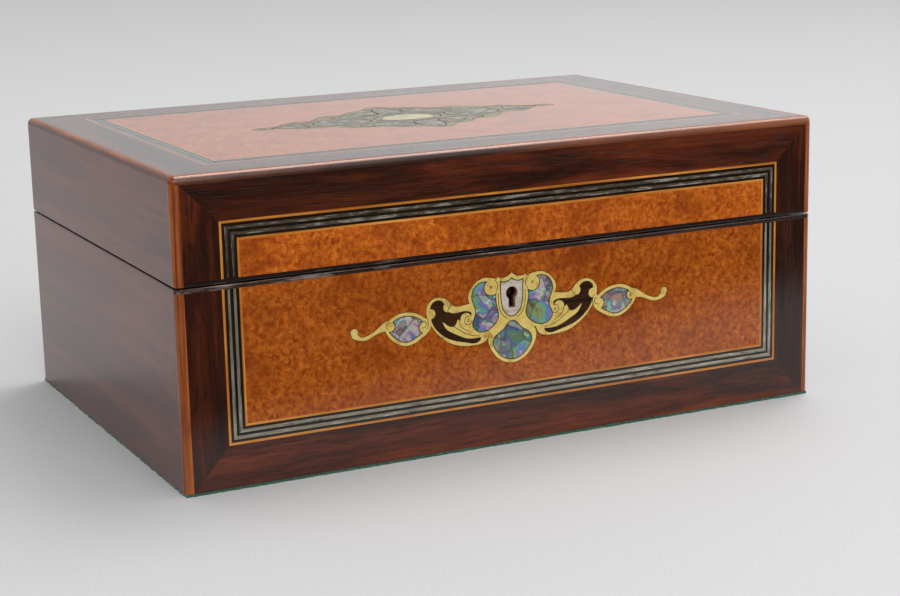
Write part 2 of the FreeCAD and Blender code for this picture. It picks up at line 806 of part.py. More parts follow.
node("keyhole_shield", less("keyhole_shield", feature("shield_blank", shield, front_spot), keyhole_tool))

# Lozenge inlay on the lid: one quarter's outlines, in millimetres from the lid's middle

LOZENGE = [
    (76.0, 0.0), (71.0, 3.6), (64.5, 3.4), (59.0, 8.4), (52.0, 12.6), (44.5, 12.2), (39.0, 17.4),
    (31.0, 23.6), (23.5, 23.4), (18.0, 29.6), (9.0, 33.0), (4.6, 38.4), (0.0, 41.0),
]
END_LEAF = [(50.0, 0.0), (54.0, 6.4), (60.0, 4.2), (67.0, 0.0)]
SIDE_LEAF = [(19.0, 0.0), (24.0, 7.4), (33.0, 10.4), (41.0, 8.2), (46.5, 0.0)]
TOP_LEAF = [(0.0, 14.0), (5.4, 18.0), (5.6, 27.0), (0.0, 36.5)]
CORNER_LEAF = [
    (9.0, 14.2), (16.0, 11.2), (23.0, 12.0), (30.5, 15.8), (27.0, 20.2), (20.5, 20.4),
    (14.5, 26.0), (9.4, 26.6),
]
PLAQUE = (12.5, 9.0)
PLAQUE_RING = (16.2, 12.0)


def oval(radii, scale, thickness):
    edge = Part.Ellipse(Vector(), radii[0] * scale, radii[1] * scale).toShape()
    return slab([edge], thickness)


def about_middle(points, scale):
    """A quarter's outline carried round all four quarters."""
    first = spread(points, (scale, scale))
    second = [(-x, y) for x, y in reversed(first)][1:]
    upper = first + second
    lower = [(x, -y) for x, y in reversed(upper)][1:-1]
    return upper + lower


def lid_inlay():
    """The lozenge's silhouette, its brass and its shell leaves."""
    scale = size("lid_inlay_scale")
    thick = size("veneer_thickness")
    outside = slab([curve(about_middle(LOZENGE, scale), True)], thick)
    quarters = [(sx * scale, sy * scale) for sx in (1, -1) for sy in (1, -1)]

    def leaf(points, reach, flip):
        """A leaf symmetric about one axis, from the points on one side of it."""
        far = [(x * flip[0], y * flip[1]) for x, y in reversed(points)][1:-1]
        return whole_slab(points + far, reach, thick)

    shell = [whole_slab(CORNER_LEAF, reach, thick) for reach in quarters]
    for side in (1, -1):
        shell += [leaf(points, (side * scale, scale), (1, -1)) for points in (END_LEAF, SIDE_LEAF)]
        shell.append(leaf(TOP_LEAF, (scale, side * scale), (-1, 1)))
    surround = oval(PLAQUE_RING, scale, thick)
    shell = [piece.cut(surround) for piece in shell] + [surround.cut(oval(PLAQUE, scale, thick))]
    brass = outside.cut(shell)
    return outside, brass, Part.makeCompound(shell)


top_spot = Placement(Vector(0, 0, size("lid_board_z")), Rotation())
lid_outside, lid_brass, lid_shell = lid_inlay()
node("lid_top_panel", less("lid_top_panel", top_panel_blank, feature("lid_recess", lid_outside, top_spot)))
node("lid_inlay_brass", feature("lid_inlay_brass", lid_brass, top_spot))
node("lid_inlay_abalone", feature("lid_inlay_abalone", lid_shell, top_spot))

# Screws: a flat head above or below its seat and a shank; each is also the tool that cuts its own hole


def screw(name, seat, at, length, up=False, small=False, recess="0", axis="z"):
    """A screw whose head stands on the seat height; up means that it is driven from below."""
    shank, head = ("small_shank", "small_head") if small else ("screw_shank", "screw_head")
    rise = "small_head * 0.6" if small else "screw_head * 0.6"
    if up:
        head_span = (f"({seat}) - ({rise})", seat)
        shank_span = (seat, f"({seat}) + ({length})")
    else:
        head_span = (f"({seat}) - ({recess})", f"({seat}) + ({rise}) - ({recess})")
        shank_span = (f"({seat}) - ({length})", f"({seat}) - ({recess})")
    return joined(
        name,
        rod(name + "_head", axis, head, *head_span, at),
        rod(name + "_shank", axis, shank, *shank_span, at),
    )


# Lock: a case let into the front wall, a sliding bolt, and a plate with two hooks in the lid

lock_x = ("keyhole_offset - lock_width / 2", "keyhole_offset + lock_width / 2")
lock_shell = block("lock_shell", lock_x, ("-lock_front", "-inner_y"), ("lock_low", "lock_top"))
lock_lip = block(
    "lock_lip", (f"{lock_x[0]} - lock_ear", f"{lock_x[1]} + lock_ear"), ("-lock_front - 1", "-inner_y"),
    ("lock_top", "base_height"),
)
lock_room = block(
    "lock_room", (f"{lock_x[0]} + lock_wall", f"{lock_x[1]} - lock_wall"),
    ("lock_wall - lock_front", "-inner_y - lock_wall"), ("lock_low + lock_wall", "lock_top"),
)
hook_xs = ("keyhole_offset - hook_spacing / 2", "keyhole_offset + hook_spacing / 2")
lock_slots = [
    block(f"lock_slot_{i}", (f"{x} - hook_width / 2 - slot_play", f"{x} + hook_width / 2 + slot_play"),
          ("-bolt_y - hook_thickness / 2 - slot_play", "-bolt_y + hook_thickness / 2 + slot_play"),
          ("lock_top - 1", "base_height + 1"))
    for i, x in enumerate(hook_xs)
]
key_pin = rod("key_pin", "y", "key_pin_radius", "-lock_front - 0.6", "-inner_y - lock_wall / 2", keyhole_eye)
lock_screws = [
    screw(f"lock_screw_{i}", "base_height - small_head * 0.6", (x, "-lock_front + 2.6"), "9", small=True)
    for i, x in enumerate((f"{lock_x[0]} - lock_ear / 2", f"{lock_x[1]} + lock_ear / 2"))
]
lock_outside = joined("lock_outside", lock_shell, lock_lip)
lock_hollows = joined("lock_hollows", lock_room, *lock_slots)
lock_hollow = less("lock_hollow", lock_outside, lock_hollows, keyhole_tool)
lock_pinned = joined("lock_pinned", lock_hollow, key_pin)
node("lock_case", less("lock_case", lock_pinned, *lock_screws))

bolt_span_y = ("-bolt_y - bolt_thickness / 2", "-bolt_y + bolt_thickness / 2")
bolt_bar = block(
    "bolt_bar", (f"{hook_xs[0]} - hook_width / 2 - bolt_travel - 4", "keyhole_offset + 14"), bolt_span_y,
    ("bolt_top - bolt_height", "bolt_top"),
)
bolt_parts = [bolt_bar]
for i, x in enumerate(hook_xs):
    stem_right = f"{x} - hook_width / 2 - bolt_travel - 1"
    stem = (f"{stem_right} - 3", stem_right)
    tip = f"{x} - hook_width / 2 - 0.8"
    finger_top = "finger_z + finger_height"
    bolt_parts.append(block(f"bolt_stem_{i}", stem, bolt_span_y, ("bolt_top - 1", finger_top)))
    bolt_parts.append(block(f"bolt_finger_{i}", (stem[0], tip), bolt_span_y, ("finger_z", finger_top)))
bolt_notch = block(
    "bolt_notch", ("keyhole_offset - 2", "keyhole_offset + 2"), ("-bolt_y - 5", "5 - bolt_y"),
    ("bolt_top - bolt_height - 1", "bolt_top - bolt_height + 2"),
)
node("lock_bolt", less("lock_bolt", joined("bolt_whole", *bolt_parts), bolt_notch))

link_plate = block(
    "link_plate", lock_x, ("-lock_front - 1", "-inner_y"), ("lid_z", "lid_z + link_plate_thickness")
)
link_parts = [link_plate]
for i, x in enumerate(hook_xs):
    hook = block(
        f"hook_{i}", (f"{x} - hook_width / 2", f"{x} + hook_width / 2"),
        ("-bolt_y - hook_thickness / 2", "-bolt_y + hook_thickness / 2"), ("hook_z", "lid_z + 0.5"),
    )
    eye = block(
        f"hook_eye_{i}", (f"{x} - hook_width", f"{x} + hook_width"),
        ("-bolt_y - bolt_thickness / 2 - lock_play", "-bolt_y + bolt_thickness / 2 + lock_play"),
        ("finger_z - lock_play", "finger_z + finger_height + lock_play"),
    )
    link_parts.append(less(f"hook_cut_{i}", hook, eye))
link_screws = [
    screw(f"link_screw_{i}", "lid_z + small_head * 0.6", (x, "-bolt_y"), "9", up=True, small=True)
    for i, x in enumerate((f"{lock_x[0]} + lock_ear", f"{lock_x[1]} - lock_ear"))
]
node("lock_link_plate", less("lock_link_plate", joined("link_whole", *link_parts), *link_screws))

# Hinges: two butts let into the back rims, three knuckles each

hinge_middles = ("-hinge_spacing / 2", "hinge_spacing / 2")
hinge_at = ("outer_y", "hinge_z")
base_leaves = []
lid_leaves = []
hinge_pins = []
base_hinge_screws = []
lid_hinge_screws = []
base_hinge_rooms = []
lid_hinge_rooms = []
for i, middle in enumerate(hinge_middles):
    left = f"{middle} - hinge_length / 2"
    right = f"{middle} + hinge_length / 2"
    first = f"{middle} - hinge_length / 6"
    second = f"{middle} + hinge_length / 6"
    leaf_y = ("inner_y + 0.8", "outer_y")
    base_z = ("base_height - hinge_leaf", "base_height")
    lid_z_span = ("lid_z", "lid_z + hinge_leaf")
    reach = "knuckle_radius + side_play"
    bore_radius = "hinge_pin_radius + running_fit"
    bore = rod(f"hinge_bore_{i}", "x", bore_radius, f"{left} - 1", f"{right} + 1", hinge_at)
    outer_room = [
        rod(f"hinge_room_{i}_0", "x", reach, f"{left} - 1", f"{first} + knuckle_gap", hinge_at),
        rod(f"hinge_room_{i}_1", "x", reach, f"{second} - knuckle_gap", f"{right} + 1", hinge_at),
    ]
    middle_room = rod(
        f"hinge_room_{i}_2", "x", reach, f"{first} - knuckle_gap", f"{second} + knuckle_gap", hinge_at
    )
    screw_spots = [(x, "inner_y + 3.4") for x in (f"{left} + 6", middle, f"{right} - 6")]
    base_set = [
        screw(f"hinge_screw_{i}_{j}", "base_height - small_head * 0.6", spot, "8", small=True)
        for j, spot in enumerate(screw_spots)
    ]
    lid_set = [
        screw(f"lid_hinge_screw_{i}_{j}", "lid_z + small_head * 0.6", spot, "8", up=True, small=True)
        for j, spot in enumerate(screw_spots)
    ]
    base_plate = block(f"base_leaf_plate_{i}", (left, right), leaf_y, base_z)
    lid_plate = block(f"lid_leaf_plate_{i}", (left, right), leaf_y, lid_z_span)
    lid_knuckle_x = (f"{first} + knuckle_gap", f"{second} - knuckle_gap")
    base_leaf = joined(
        f"base_leaf_whole_{i}",
        less(f"base_leaf_flat_{i}", base_plate, middle_room),
        rod(f"base_knuckle_{i}_0", "x", "knuckle_radius", left, first, hinge_at),
        rod(f"base_knuckle_{i}_1", "x", "knuckle_radius", second, right, hinge_at),
    )
    lid_leaf = joined(
        f"lid_leaf_whole_{i}",
        less(f"lid_leaf_flat_{i}", lid_plate, *outer_room),
        rod(f"lid_knuckle_{i}", "x", "knuckle_radius", *lid_knuckle_x, hinge_at),
    )
    base_leaves.append(less(f"base_leaf_{i}", base_leaf, bore, *base_set))
    lid_leaves.append(less(f"lid_leaf_{i}", lid_leaf, bore, *lid_set))
    hinge_pins.append(rod(f"hinge_pin_{i}", "x", "hinge_pin_radius", left, right, hinge_at))
    base_hinge_screws += base_set
    lid_hinge_screws += lid_set
    room_x = (f"{left} - side_play", f"{right} + side_play")
    leaf_room_y = ("inner_y + 0.8", "outer_y + 1")
    knuckle_y = (f"outer_y - ({reach})", "outer_y + 1")
    base_hinge_rooms.append(joined(
        f"base_hinge_room_{i}",
        block(f"base_leaf_room_{i}", room_x, leaf_room_y, ("base_height - hinge_leaf", "base_height + 1")),
        block(f"base_knuckle_room_{i}", room_x, knuckle_y, (f"hinge_z - ({reach})", "base_height + 1")),
    ))
    lid_hinge_rooms.append(joined(
        f"lid_hinge_room_{i}",
        block(f"lid_leaf_room_{i}", room_x, leaf_room_y, ("lid_z - 1", "lid_z + hinge_leaf")),
        block(f"lid_knuckle_room_{i}", room_x, knuckle_y, ("lid_z - 1", f"hinge_z + {reach}")),
    ))
node("hinge_base_leaves", group("hinge_base_leaves", base_leaves))
node("hinge_lid_leaves", group("hinge_lid_leaves", lid_leaves))
node("hinge_pins", group("hinge_pins", hinge_pins))
node("lid_screws", group("lid_screws", lid_hinge_screws + link_screws))

# Bed plate, brackets and screws of the movement

bed_corners = [
    ("bed_left", "bed_front"), ("bed_right", "bed_front"),
    ("bed_right", "bed_back"), ("bed_left", "bed_back"),
]
bed = padded("bed_slab", "XY_Plane", bed_corners, "bed_thickness", ("0", "0", "bed_low"))
doc.recompute()
bed_foot_spots = [
    (x, y)
    for x in ("bed_left + bed_foot_radius + 1", "bed_right - bed_foot_radius - 1")
    for y in ("bed_front + bed_foot_radius + 1", "bed_back - bed_foot_radius - 1")
]
bed_feet = [
    rod(f"bed_foot_{i}", "z", "bed_foot_radius", "floor_z", "bed_low + 1", spot)
    for i, spot in enumerate(bed_foot_spots)
]
bed_screws = [
    screw(f"bed_screw_{i}", "bed_top", spot, "bed_thickness + bed_foot_height + 6")
    for i, spot in enumerate(bed_foot_spots)
]


def along_comb(*shares):
    """Places at shares of the comb's length."""
    return [f"comb_left + (comb_right - comb_left) * {share}" for share in shares]


comb_mid_y = "(comb_base_front + comb_base_back) / 2"
bracket_spots = [
    ("(bracket_left + bracket_right) / 2", "barrel_y - bracket_radius + 3.5"),
    ("(bracket_left + bracket_right) / 2", "barrel_y + bracket_radius - 3.5"),
    ("(bridge_left + bridge_right) / 2", "barrel_y - bracket_radius + 3.5"),
    ("(bridge_left + bridge_right) / 2", "cylinder_y + bracket_radius - 3.5"),
    ("(bearing_left + bearing_right) / 2", "cylinder_y - bracket_radius + 3.5"),
    ("(bearing_left + bearing_right) / 2", "cylinder_y + bracket_radius - 3.5"),
]
under_spots = bracket_spots + [(x, comb_mid_y) for x in along_comb(0.1, 0.5, 0.9)] + [
    ("governor_left + 8", "riser_front + 9"),
    ("governor_right - 8", "first_y + 3"),
]
under_screws = [
    screw(f"under_screw_{i}", "bed_low", spot, "bed_thickness + 2.4", up=True)
    for i, spot in enumerate(under_spots)
]
comb_screws = [
    screw(f"comb_screw_{i}", "comb_top", (x, "comb_back + comb_heel / 2"), "comb_thickness + 8")
    for i, x in enumerate(along_comb(0.03, 0.27, 0.52, 0.76, 0.97))
]
bed_footed = joined("bed_footed", bed, *bed_feet)
node("bedplate", less("bedplate", bed_footed, *bed_screws, *under_screws))
node("movement_screws", group("movement_screws", bed_screws + under_screws + comb_screws))


def upright(name, left, right, ys, bore):
    """A standing bracket with a round head and a bore at each of its arbors."""
    heads = [
        rod(f"{name}_head_{i}", "x", "bracket_radius", left, right, (y, "axis_z")) for i, y in enumerate(ys)
    ]
    plate_y = (f"{ys[0]} - bracket_radius", f"{ys[-1]} + bracket_radius")
    plate = block(f"{name}_plate", (left, right), plate_y, ("bed_top", "axis_z"))
    bores = [
        rod(f"{name}_bore_{i}", "x", radius, f"{left} - 1", f"{right} + 1", (y, "axis_z"))
        for i, (y, radius) in enumerate(zip(ys, bore))
    ]
    return less(name, joined(name + "_whole", plate, *heads), *bores, *under_screws)


barrel_bore = "barrel_arbor_radius + running_fit"
cylinder_bore = "journal_radius + running_fit"
node("bearing_brackets", group("bearing_brackets", [
    upright("barrel_bracket", "bracket_left", "bracket_right", ["barrel_y"], [barrel_bore]),
    upright(
        "left_bridge", "bridge_left", "bridge_right", ["barrel_y", "cylinder_y"], [barrel_bore, cylinder_bore]
    ),
    upright("right_bearing", "bearing_left", "bearing_right", ["cylinder_y"], [cylinder_bore]),
]))

# Comb: a padded section with a row of saw cuts between its teeth

comb = padded(
    "comb_body", "YZ_Plane",
    [
        ("comb_tip", "comb_top"), ("comb_back", "comb_top"), ("comb_back", "comb_under"),
        ("comb_back + comb_heel", "comb_under"), ("comb_back + comb_heel + 2", "comb_top - tooth_root"),
        ("comb_tip", "comb_top - tooth_tip"),
    ],
    "comb_right - comb_left", ("comb_left", "0", "0"),
)
cut_sketch = sketch_on(comb, "XY_Plane", "tooth_gap_outline")
cut_sketch.setExpression("AttachmentOffset.Base.z", bound("comb_top"))
gap_sides = ("tooth_pitch - tooth_gap / 2", "tooth_pitch + tooth_gap / 2")
gap_ends = ("comb_back + comb_heel + 1", "comb_tip + 1")
outline(cut_sketch, [
    (gap_sides[0], gap_ends[0]), (gap_sides[1], gap_ends[0]),
    (gap_sides[1], gap_ends[1]), (gap_sides[0], gap_ends[1]),
])
gap = comb.newObject("PartDesign::Pocket", "tooth_gap_cut")
gap.Profile = cut_sketch
gap.Type = "ThroughAll"
gap.Midplane = True
gaps = comb.newObject("PartDesign::LinearPattern", "tooth_gap_row")
gaps.Originals = [gap]
gaps.Direction = (cut_sketch, ["H_Axis"])
gaps.setExpression("Length", bound("tooth_pitch * (comb_teeth - 2)"))
gaps.setExpression("Occurrences", bound("comb_teeth - 1"))
comb.Tip = gaps
doc.recompute()
node("comb", less("comb", comb, *comb_screws))
comb_base_y = ("comb_base_front", "comb_base_back")
comb_block = block("comb_block", ("comb_left", "comb_right"), comb_base_y, ("bed_top", "comb_under"))
node("comb_base", less("comb_base", comb_block, *comb_screws, *under_screws))

# Toothed wheels


def polar(radius, angle):
    return Vector(radius * math.cos(angle), radius * math.sin(angle), 0)


def arc(start, middle, end):
    return Part.Arc(start, middle, end).toShape()


def wheel_blank(teeth, module, play, phase):
    """A toothed face with involute flanks; one tooth's middle lies at the phase angle."""
    pitch = module * teeth / 2
    base = pitch * math.cos(PRESSURE_ANGLE)
    tip = pitch + ADDENDUM * module
    root = pitch - DEDENDUM * module
    start = max(base, root)
    middle = (start + tip) / 2

    def lean(radius):
        slope = math.acos(min(1, base / radius))
        return math.tan(slope) - slope

    at_pitch = math.pi / (2 * teeth) - play / (2 * pitch)

    def half(radius):
        return at_pitch + lean(pitch) - lean(radius)

    edges = []
    step = 2 * math.pi / teeth
    for i in range(int(teeth)):
        centre = phase + i * step
        near = [polar(r, centre - half(r)) for r in (start, middle, tip)]
        far = [polar(r, centre + half(r)) for r in (tip, middle, start)]
        foot = [polar(root, centre + side * half(start)) for side in (-1, 1)]
        next_foot = polar(root, centre + step - half(start))
        if root < start:
            edges.append(Part.makeLine(foot[0], near[0]))
            edges.append(Part.makeLine(far[2], foot[1]))
        edges.append(arc(*near))
        edges.append(arc(near[2], polar(tip, centre), far[0]))
        edges.append(arc(*far))
        edges.append(arc(foot[1], polar(root, centre + step / 2), next_foot))
    return Part.Face(Part.Wire(Part.__sortEdges__(edges)))


def crossings(inner, outer, spokes, width):
    """The openings between a wheel's spokes."""
    faces = []
    for i in range(spokes):
        low = 2 * math.pi * i / spokes
        high = 2 * math.pi * (i + 1) / spokes
        mid = (low + high) / 2
        near = [low + math.asin(width / 2 / inner), high - math.asin(width / 2 / inner)]
        far = [low + math.asin(width / 2 / outer), high - math.asin(width / 2 / outer)]
        corners = [polar(inner, near[0]), polar(outer, far[0]), polar(outer, far[1]), polar(inner, near[1])]
        faces.append(Part.Face(Part.Wire([
            Part.makeLine(corners[0], corners[1]),
            arc(corners[1], polar(outer, mid), corners[2]),
            Part.makeLine(corners[2], corners[3]),
            arc(corners[3], polar(inner, mid), corners[0]),
        ])))
    return faces


# A wheel drawn in its own plane stands across X: its first axis along Y, its second along Z
ACROSS_X = Rotation(Vector(0, 1, 0), Vector(0, 0, 1), Vector(1, 0, 0), "XYZ")


def wheel(name, teeth, module, play, phase, left, width, y, z, bore=None, spokes=0, hub=0.0, rim=0.0):
    """A toothed wheel across X; bore is its hole's radius and spokes its number of arms."""
    count = size(teeth)
    gauge = size(module)
    thick = size(width)
    solid = wheel_blank(count, gauge, play, phase).extrude(Vector(0, 0, thick))
    if spokes:
        outer = gauge * count / 2 - DEDENDUM * gauge - rim
        openings = crossings(hub, outer, spokes, rim)
        solid = solid.cut([face.extrude(Vector(0, 0, thick)) for face in openings])
    if bore:
        solid = solid.cut(Part.makeCylinder(bore, thick))
    spot = Vector(size(left), size(y), size(z))
    return feature(name, solid, Placement(spot, ACROSS_X))


# Spring barrel: drum with its great wheel, cap, mainspring and arbor

backlash = size("backlash")
barrel_at = ("barrel_y", "axis_z")
barrel_wheel = wheel(
    "barrel_wheel", "barrel_teeth", "barrel_module", backlash, math.pi / size("barrel_teeth"), "drive_left",
    "drive_wheel_width", "barrel_y", "axis_z",
)
drum_left = "barrel_left + barrel_wall"
drum_outside = rod("drum_outside", "x", "barrel_radius", drum_left, "drive_left + 1", barrel_at)
drum_room = rod("drum_room", "x", "barrel_radius - barrel_wall", "barrel_left", "drive_left", barrel_at)
barrel_hole = rod("barrel_hole", "x", barrel_bore, "barrel_left - 1", "drive_right + 1", barrel_at)
drum_whole = joined("drum_whole", drum_outside, barrel_wheel)
node("barrel_drum", less("barrel_drum", drum_whole, joined("drum_rooms", drum_room, barrel_hole)))
cap_disc = rod("cap_disc", "x", "barrel_radius", "barrel_left", drum_left, barrel_at)
plug_radius = "barrel_radius - barrel_wall - seat_fit"
cap_plug = rod("cap_plug", "x", plug_radius, "barrel_left", f"{drum_left} + 1.5", barrel_at)
node("barrel_cap", less("barrel_cap", joined("cap_whole", cap_disc, cap_plug), barrel_hole))


def spring_section():
    """The coiled strip's section: two spirals a strip's thickness apart, closed by short ends."""
    outer = size("barrel_radius - barrel_wall") - 0.1
    pitch = size("spring_pitch")
    strip = size("spring_strip")
    turns = size("spring_turns")
    steps = int(turns * 16)
    angles = [2 * math.pi * turns * i / steps for i in range(steps + 1)]

    def spiral(inset):
        return [
            (radius * math.cos(a), radius * math.sin(a))
            for a in angles
            for radius in [outer - inset - pitch * a / (2 * math.pi)]
        ]

    long_edges = [spiral(0), spiral(strip)]
    ends = [
        Part.makeLine(Vector(*long_edges[0][i], 0), Vector(*long_edges[1][i], 0)) for i in (0, -1)
    ]
    edges = [curve(points, False) for points in long_edges] + ends
    return Part.Face(Part.Wire(Part.__sortEdges__(edges)))


spring_left = size(f"{drum_left} + 2")
spring_width = size("drive_left - barrel_left - barrel_wall - 3")
node("mainspring", feature(
    "mainspring", spring_section().extrude(Vector(0, 0, spring_width)),
    Placement(Vector(spring_left, size("barrel_y"), size("axis_z")), ACROSS_X),
))
node("barrel_arbor", turned(
    "barrel_arbor", "x",
    [
        ("arbor_left", "0"), ("arbor_left", "arbor_head_radius - 0.6"),
        ("arbor_left + 0.6", "arbor_head_radius"), ("lever_left - side_play", "arbor_head_radius"),
        ("lever_left - side_play", "barrel_arbor_radius"),
        (f"{drum_left} + 2", "barrel_arbor_radius"), (f"{drum_left} + 2", "spring_core_radius"),
        ("drive_left - 0.6", "spring_core_radius"), ("drive_left - 0.6", "barrel_arbor_radius"),
        ("bridge_right", "barrel_arbor_radius"), ("bridge_right", "0"),
    ],
    ("0", "barrel_y", "axis_z"),
))

# Winding lever with its ratchet wheel, driving pawl and holding click

ratchet_count = int(size("ratchet_teeth"))


def ratchet_face():
    """Saw teeth: a straight back and a radial face that the pawl pushes on."""
    outer = size("ratchet_radius")
    inner = outer - 1.8
    step = 2 * math.pi / ratchet_count
    points = []
    for i in range(ratchet_count):
        points.append(polar(inner, i * step))
        points.append(polar(outer, i * step))
    points.append(points[0])
    return Part.Face(Part.makePolygon(points))


ratchet_spot = Placement(Vector(size("ratchet_left"), size("barrel_y"), size("axis_z")), ACROSS_X)
ratchet_hole = Part.makeCylinder(size("barrel_arbor_radius + seat_fit"), size("ratchet_width"))
ratchet_solid = ratchet_face().extrude(Vector(0, 0, size("ratchet_width")))
node("ratchet_wheel", feature("ratchet_wheel", ratchet_solid.cut(ratchet_hole), ratchet_spot))


def pawl_face(root_angle, root_radius, reach, tooth):
    """A finger from its pivot, over the tooth before, to the face of one ratchet tooth."""
    outer = size("ratchet_radius")
    step = 2 * math.pi / ratchet_count
    pivot = polar(root_radius, root_angle)
    tip = polar(outer - 0.7, tooth * step - 0.035)
    heel = polar(outer + 1.0, tooth * step - 0.02)
    knee = polar(outer + 0.4, (tooth - 1) * step)
    along = (tip - pivot).normalize()
    inward = Vector(-along.y, along.x, 0)
    finger = Part.Face(Part.makePolygon([
        pivot + inward * reach, pivot - inward * reach, heel, tip, knee, pivot + inward * reach,
    ]))
    return finger, pivot


PAWL_TOOTH = 3
CLICK_TOOTH = 13
pawl_thick = size("ratchet_width") - 1.0
pawl_finger, pawl_pivot = pawl_face(math.radians(5), size("ratchet_radius") + 6.0, 2.2, PAWL_TOOTH)
pawl_pin_radius = size("pawl_pin_radius")
pawl_pin_length = size("lever_thickness + side_play")
pawl_solid = together([
    pawl_finger.extrude(Vector(0, 0, pawl_thick)),
    Part.makeCylinder(pawl_pin_radius + 1.6, pawl_thick, pawl_pivot),
    Part.makeCylinder(pawl_pin_radius, pawl_pin_length + 0.5, pawl_pivot - Vector(0, 0, pawl_pin_length)),
])
node("drive_pawl", feature("drive_pawl", pawl_solid, ratchet_spot))
lever_x = ("lever_left", "lever_right")
pawl_at = (f"barrel_y + {pawl_pivot.x:.4f}", f"axis_z + {pawl_pivot.y:.4f}")
lever_middle = "(lever_left + lever_right) / 2"
lever_end = "barrel_y + lever_length"
tang_y = (f"{lever_end} - 1", f"{lever_end} + tang_length")
lever_whole = joined(
    "lever_whole",
    rod("lever_hub", "x", "lever_hub_radius", *lever_x, barrel_at),
    block(
        "lever_arm", lever_x, ("barrel_y", lever_end),
        ("axis_z - lever_width / 2", "axis_z + lever_width / 2"),
    ),
    rod("lever_boss", "x", "pawl_pin_radius + 3.4", *lever_x, pawl_at),
    rod("lever_tang", "y", "tang_radius", *tang_y, (lever_middle, "axis_z")),
)
lever_holes = joined(
    "lever_holes",
    rod("lever_hole", "x", barrel_bore, "lever_left - 1", "lever_right + 1", barrel_at),
    rod("pawl_hole", "x", "pawl_pin_radius + running_fit", "lever_left - 1", "lever_right + 1", pawl_at),
)
node("winding_lever", less("winding_lever", lever_whole, lever_holes))

# The knob's outline: shares of its length and of its radius
KNOB_OUTLINE = [
    (0.0, 0.55), (0.1, 0.5), (0.35, 0.75), (0.55, 0.97), (0.72, 1.0), (0.86, 0.88), (0.96, 0.5), (1.0, 0.0),
]
knob_bore = "tang_radius + seat_fit"
knob_bore_end = "tang_length + 0.2"
knob = turned(
    "lever_knob", "z",
    [("0", knob_bore)]
    + [(f"knob_length * {along}", f"knob_radius * {out}") for along, out in KNOB_OUTLINE]
    + [(knob_bore_end, "0"), (knob_bore_end, knob_bore)],
    (lever_middle, lever_end, "axis_z"),
)
knob.Placement = Placement(knob.Placement.Base, ALONG["y"])
node("lever_knob", knob)

stop_peg_at = ("barrel_y + 30", "axis_z - lever_width / 2 - stop_peg_radius - stop_peg_gap")
stop_peg = rod("lever_stop", "x", "stop_peg_radius", "lever_left", "left_wall_left + 3", stop_peg_at)
node("lever_stop", stop_peg)

click_finger, click_foot = pawl_face(math.radians(152), size("ratchet_radius") + 9.0, 1.4, CLICK_TOOTH)
click_spot = ratchet_spot.multiply(Placement(Vector(0, 0, 0.5), Rotation()))
click_length = size("left_wall_left - ratchet_left") - 0.5
click_block = Part.makeBox(8, 12, click_length, click_foot + Vector(-6.5, -6, 0))
click_solid = together([click_finger.extrude(Vector(0, 0, pawl_thick)), click_block])
node("holding_click", feature("holding_click", click_solid, click_spot))

# Cylinder: drum on its arbor, playing pins and two wheels

cylinder_at = ("cylinder_y", "axis_z")
cylinder_place = ("0", *cylinder_at)
arbor_seat = "cylinder_arbor_radius + seat_fit"
drum_inside = "cylinder_radius - cylinder_wall"
node("cylinder_drum", turned(
    "cylinder_drum", "x",
    [
        ("cylinder_left", arbor_seat), ("cylinder_left", "cylinder_radius"),
        ("cylinder_right", "cylinder_radius"), ("cylinder_right", arbor_seat),
        ("cylinder_right - cylinder_end", arbor_seat), ("cylinder_right - cylinder_end", drum_inside),
        ("cylinder_left + cylinder_end", drum_inside), ("cylinder_left + cylinder_end", arbor_seat),
    ],
    cylinder_place,
))
node("cylinder_arbor", turned(
    "cylinder_arbor", "x",
    [
        ("drive_left - 2", "0"), ("drive_left - 2", "journal_radius"),
        ("bridge_right + side_play", "journal_radius"), ("bridge_right + side_play", "cylinder_arbor_radius"),
        ("bearing_left - side_play", "cylinder_arbor_radius"), ("bearing_left - side_play", "journal_radius"),
        ("bearing_right + 2", "journal_radius"), ("bearing_right + 2", "0"),
    ],
    cylinder_place,
))
node("cylinder_drive_wheel", wheel(
    "cylinder_drive_wheel", "drive_teeth", "barrel_module", backlash, math.pi, "drive_left",
    "drive_wheel_width", "cylinder_y", "axis_z", bore=size("journal_radius + seat_fit"),
    spokes=5, hub=5.5, rim=3.0,
))
great_wheel = wheel(
    "great_wheel_rim", "great_teeth", "great_module", backlash, math.pi, "great_left", "great_wheel_width",
    "cylinder_y", "axis_z", bore=size(arbor_seat), spokes=6, hub=size("great_hub_radius"), rim=3.4,
)
great_hub = less(
    "great_hub",
    rod("great_hub_rod", "x", "great_hub_radius", "cylinder_right", "great_left + 0.5", cylinder_at),
    rod("great_hub_hole", "x", arbor_seat, "cylinder_right - 1", "great_right", cylinder_at),
)
node("cylinder_great_wheel", joined("cylinder_great_wheel", great_wheel, great_hub))


def playing_pins():
    """Pins under each comb tooth's tip, spread round the drum by the golden ratio."""
    radius = size("cylinder_radius")
    reach = size("pin_length")
    thin = size("pin_radius")
    golden = (math.sqrt(5) - 1) / 2
    each = int(size("pins_per_tooth"))
    pins = []
    for tooth in range(int(size("comb_teeth"))):
        along = size("comb_left + tooth_pitch / 2") + tooth * size("tooth_pitch")
        for i in range(each):
            turn = 2 * math.pi * ((tooth * golden + (i + 0.35 * ((tooth * i) % 3)) / each) % 1)
            out = Vector(0, math.cos(turn), math.sin(turn))
            pins.append(Part.makeCylinder(thin, reach, Vector(along, 0, 0) + out * radius, out))
    return Part.makeCompound(pins)


node("cylinder_pins", feature(
    "cylinder_pins", playing_pins(), Placement(Vector(0, size("cylinder_y"), size("axis_z")), Rotation())
))

# Governor: two wheels on arbors, the vertical endless screw with its fly, and their frame

